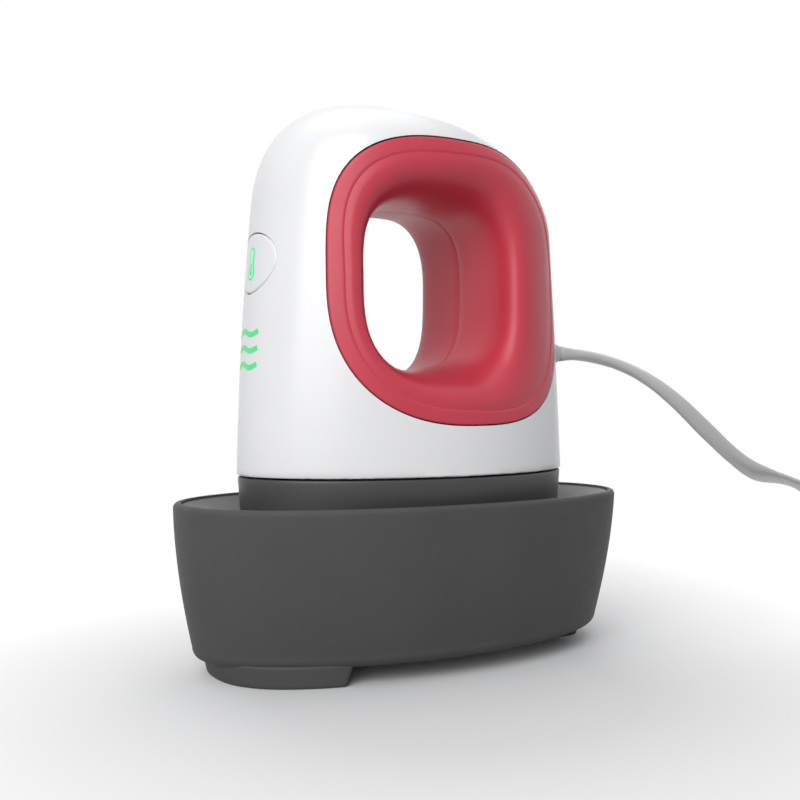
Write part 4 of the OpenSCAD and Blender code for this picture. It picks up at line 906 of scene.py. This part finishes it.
def dish_ring(share, drop):
    """The dish at a share of its way in to the well. It steepens on the way, and drop sinks it."""
    outer = base_ring(BASE_WALL + 0.25 + drop / 2, TRAY_EDGE)
    inner = skirt_ring(-GAP - BRIM_ROUND, WELL_BRIM, BASE_SIDES)
    fall = DISH_DEPTH * (0.55 * share + 0.45 * share * share)
    ring = outer + (inner - outer) * share
    ring[:, 2] = TRAY_EDGE - fall - drop
    return ring


def well_ring(grow, z):
    return skirt_ring(-grow, z, BASE_SIDES)


under = [well_ring(GAP, WELL_FLOOR - TRAY_WALL), well_ring(GAP + TRAY_WALL, WELL_FLOOR),
         well_ring(GAP + TRAY_WALL, WELL_BRIM - TRAY_WALL - BRIM_ROUND)]
under += [dish_ring(k * 0.3, TRAY_WALL) for k in (3, 2, 1, 0)]
face = [dish_ring(0, 0.3), dish_ring(0.006, 0.06)]
face += [dish_ring(0.012 + 0.988 * k / 14, 0) for k in range(15)]
for a in (20, 40, 60, 80):
    r = math.radians(a)
    face.append(well_ring(GAP + BRIM_ROUND * (1 - math.sin(r)), WELL_BRIM - BRIM_ROUND * (1 - math.cos(r))))
face += [well_ring(GAP, z) for z in np.linspace(WELL_BRIM - 1.8, WELL_FLOOR + 0.8, 8)]
face += [well_ring(GAP - 0.25, WELL_FLOOR + 0.2), well_ring(GAP - 0.8, WELL_FLOOR)]
tray = loft("tray_skin", under + face, tray_grey, cap_start=True, cap_end=True)
bosses = [cylinder(POST_R, floor_z, WELL_FLOOR - 1.0, sx * BASE_SCREW_X, sy * BASE_SCREW_Y, material=tray_grey)
          for sx, sy in CORNERS]
tray = join("tray_skin", [tray] + bosses)
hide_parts("base_inner_tray")
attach(tray, "base")


FRONT_SIDES = 160


def clipped_ring(a, b, n, z, cut_x):
    """The front part of an outline, closed by a straight edge across it with soft corners."""
    t = np.linspace(0, 2 * math.pi, 1440, endpoint=False)
    x, y = a * power(np.cos(t), 2 / n), b * power(np.sin(t), 2 / n)
    keep = x <= cut_x
    x, y = x[keep], y[keep]
    order = np.argsort(np.arctan2(-y, -x))[::-1]
    x, y = x[order], y[order]
    line = np.linspace(y[-1], y[0], 26)[1:-1]
    closed = np.column_stack([np.concatenate([x, np.full(len(line), cut_x)]), np.concatenate([y, line])])
    closed = np.vstack([closed, closed[:1]])
    step = np.linalg.norm(np.diff(closed, axis=0), axis=1)
    reach = np.concatenate([[0], np.cumsum(step)])
    even = np.linspace(0, reach[-1], FRONT_SIDES, endpoint=False)
    px = np.interp(even, reach, closed[:, 0])
    py = np.interp(even, reach, closed[:, 1])
    # Round the two inboard corners a little
    for _ in range(2):
        px = (np.roll(px, 1) + 2 * px + np.roll(px, -1)) / 4
        py = (np.roll(py, 1) + 2 * py + np.roll(py, -1)) / 4
    area = np.sum(px * np.roll(py, -1) - np.roll(px, -1) * py)
    ring = np.column_stack([px, py, np.full(FRONT_SIDES, float(z))])
    return ring if area > 0 else ring[::-1]


FOOT_A, FOOT_B, FOOT_N, FOOT_END, DRAFT = 51.3, 24.5, 2.5, 28.5, 1.2


def front_ring(inset, z):
    rise = z / FOOT_H
    grow = DRAFT * 0.9 * rise
    end = -FOOT_END + DRAFT * rise - inset
    return clipped_ring(FOOT_A + grow - inset, FOOT_B + grow / 3 - inset, FOOT_N, z, end)


rings = [front_ring(3, 0), front_ring(0.5, 0), front_ring(0.15, 0.12), front_ring(0, 0.45)]
rings += [front_ring(0, z) for z in np.linspace(0.9, FOOT_H + 0.9, 7)]
front_foot = loft("front_foot_skin", rings, base_grey, cap_start=True, cap_end=True)
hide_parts("front_foot")
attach(front_foot, "base")

REAR_A, REAR_B, REAR_N, REAR_DRAFT = 6.3, 6.8, 2.5, 0.6
rear_x = FOOT_A - REAR_A - 0.3


def rear_ring(grow, z):
    return oval(REAR_A + grow, REAR_B + grow, REAR_N, z, rear_x, 96)


rings = [oval(3, 3, REAR_N, 0, rear_x, 96), rear_ring(-0.5, 0), rear_ring(-0.15, 0.12), rear_ring(0, 0.45)]
rings += [rear_ring(REAR_DRAFT * z / FOOT_H, z) for z in np.linspace(1, FOOT_H, 6)]
rear_foot = loft("rear_foot_skin", rings, base_grey, cap_start=True, cap_end=True)
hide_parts("rear_foot")
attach(rear_foot, "base")

# ---- strain relief's visible end ---------------------------------------------------------

# Each level has its radius and its place along X
RELIEF_SIDES, RELIEF_R = 48, 3.3
FLANGE_R, FLANGE_START, FLANGE_END = 4.3, tail_x - 5.6, tail_x - 3.0
relief_profile = [(2.2, 26.0), (3.15, 26.4), (FLANGE_R, FLANGE_START), (FLANGE_R, FLANGE_END),
                  (RELIEF_R, FLANGE_END), (RELIEF_R, tail_x + 0.3), (3.25, tail_x + 0.6), (3.12, 43.1),
                  (2.95, 44.2), (2.75, 45.4), (2.6, 46.2), (2.45, 46.45), (2.2, 46.5)]
t = full_turn(RELIEF_SIDES)
rings = [np.column_stack([np.full(RELIEF_SIDES, x), r * np.cos(t), CORD_Z + r * np.sin(t)])
         for r, x in relief_profile]
relief = loft("relief_skin", rings, cord_grey)
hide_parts("strain_relief")
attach(relief, "press")

# ---- floor, backdrop and light -----------------------------------------------------------

WHITE_SEEN = (1, 1, 1, 1)


def ray_kinds(tree):
    """A light path node, and a value of 1 for a camera, glossy or transmission ray and 0 for any other."""
    kinds = tree.nodes.new("ShaderNodeLightPath")
    value = kinds.outputs["Is Camera Ray"]
    for kind in ("Is Glossy Ray", "Is Transmission Ray"):
        either = tree.nodes.new("ShaderNodeMath")
        either.operation = "MAXIMUM"
        tree.links.new(value, either.inputs[0])
        tree.links.new(kinds.outputs[kind], either.inputs[1])
        value = either.outputs["Value"]
    return kinds, value


FLOOR_REACH, FLOOR_DROP = 6, 0.00002
# The last of these stretches the floor's painted shadow towards the rear right.
FADE_START, FADE_END, PAINTED_SHADOW_STRETCH = 0.04, 0.125, 0.65
floor_mesh = bpy.data.meshes.new("studio_floor")
floor_corners = [(-1, -1), (1, -1), (1, 1), (-1, 1)]
floor_mesh.from_pydata([(x * FLOOR_REACH, y * FLOOR_REACH, 0) for x, y in floor_corners], [], [(0, 1, 2, 3)])
floor = bpy.data.objects.new("studio_floor", floor_mesh)
scene.collection.objects.link(floor)
floor.location = (-0.01, -0.035, -FLOOR_DROP)
paint = Nodes("studio_floor")
pale = paint.ramp(paint.noise(3.0, 2.0), [(0.3, (0.885, 0.885, 0.885)), (0.7, (0.895, 0.895, 0.895))])
paint.shader.inputs["Roughness"].default_value = 0.8
paint.shader.inputs["Specular IOR Level"].default_value = 0.1
# Under the object the floor is a pale sheet that takes its shade, and further out it is plain white.
# The pale sheet is stretched further to the rear right, away from the lamp: there it is a painted shadow,
# greyer than the white around it.
distance = paint.add("ShaderNodeVectorMath", operation="LENGTH")
paint.link(paint.place, distance.inputs[0])
ways = paint.add("ShaderNodeSeparateXYZ")
paint.link(paint.place, ways.inputs[0])
# Painted shadow: the sheet's reach grows towards the rear right, so the floor there stays greyer than the
# white.
painted_shadow_reach = paint.maths("MAXIMUM", paint.maths("MINIMUM", ways.outputs["X"], ways.outputs["Y"]), 0.0)
fade = paint.add("ShaderNodeMapRange")
fade.inputs["From Min"].default_value = FADE_START
fade.inputs["From Max"].default_value = FADE_END
paint.link(paint.maths("MULTIPLY_ADD", painted_shadow_reach, -PAINTED_SHADOW_STRETCH, distance.outputs["Value"]), fade.inputs["Value"])
# Where the floor lights the object it acts as a greyer sheet
floor_rays, floor_seen = ray_kinds(paint.tree)
tone = paint.add("ShaderNodeMix", data_type="RGBA")
paint.link(floor_rays.outputs["Is Diffuse Ray"], tone.inputs[0])
paint.link(pale, tone.inputs[6])
tone.inputs[7].default_value = (0.45, 0.45, 0.45, 1)
paint.link(tone.outputs[2], paint.shader.inputs["Base Color"])
# The white is only seen, and lights nothing
bright = paint.add("ShaderNodeEmission")
bright.inputs["Color"].default_value = WHITE_SEEN
bright.inputs["Strength"].default_value = 1.0
mix = paint.add("ShaderNodeMixShader")
paint.link(paint.maths("MULTIPLY", fade.outputs["Result"], floor_seen), mix.inputs["Fac"])
paint.link(paint.shader.outputs["BSDF"], mix.inputs[1])
paint.link(bright.outputs["Emission"], mix.inputs[2])
paint.link(mix.outputs["Shader"], paint.tree.nodes["Material Output"].inputs["Surface"])
floor_mesh.materials.append(paint.material)

world = bpy.data.worlds.new("studio")
scene.world = world
world.use_nodes = True
wt = world.node_tree
ambient = wt.nodes["Background"]
ambient.inputs["Color"].default_value = (0.92, 0.95, 1.0, 1)
ambient.inputs["Strength"].default_value = 0.24
backdrop = wt.nodes.new("ShaderNodeBackground")
backdrop.inputs["Color"].default_value = WHITE_SEEN
backdrop.inputs["Strength"].default_value = 1.0
world_mix = wt.nodes.new("ShaderNodeMixShader")
wt.links.new(ray_kinds(wt)[1], world_mix.inputs["Fac"])
wt.links.new(ambient.outputs["Background"], world_mix.inputs[1])
wt.links.new(backdrop.outputs["Background"], world_mix.inputs[2])
wt.links.new(world_mix.outputs["Shader"], wt.nodes["World Output"].inputs["Surface"])


def lamp(name, place, aim, power_watts, size, size_y):
    """A rectangular lamp at a place, turned to its aim."""
    data = bpy.data.lights.new(name, "AREA")
    data.shape = "RECTANGLE"
    data.size = size
    data.size_y = size_y
    data.energy = power_watts
    obj = bpy.data.objects.new(name, data)
    scene.collection.objects.link(obj)
    obj.location = place
    obj.rotation_euler = (Vector(aim) - Vector(place)).to_track_quat("-Z", "Y").to_euler()


lamp("overhead", (0.0, 0.05, 0.9), (0, 0, 0.05), 2.4, 0.9, 0.9)
lamp("front_left", (-0.64, -0.62, 0.48), (0, 0, 0.07), 7.4, 0.7, 0.8)
lamp("rear_right", (0.6, 0.55, 0.4), (0, 0, 0.07), 0.6, 0.4, 0.5)
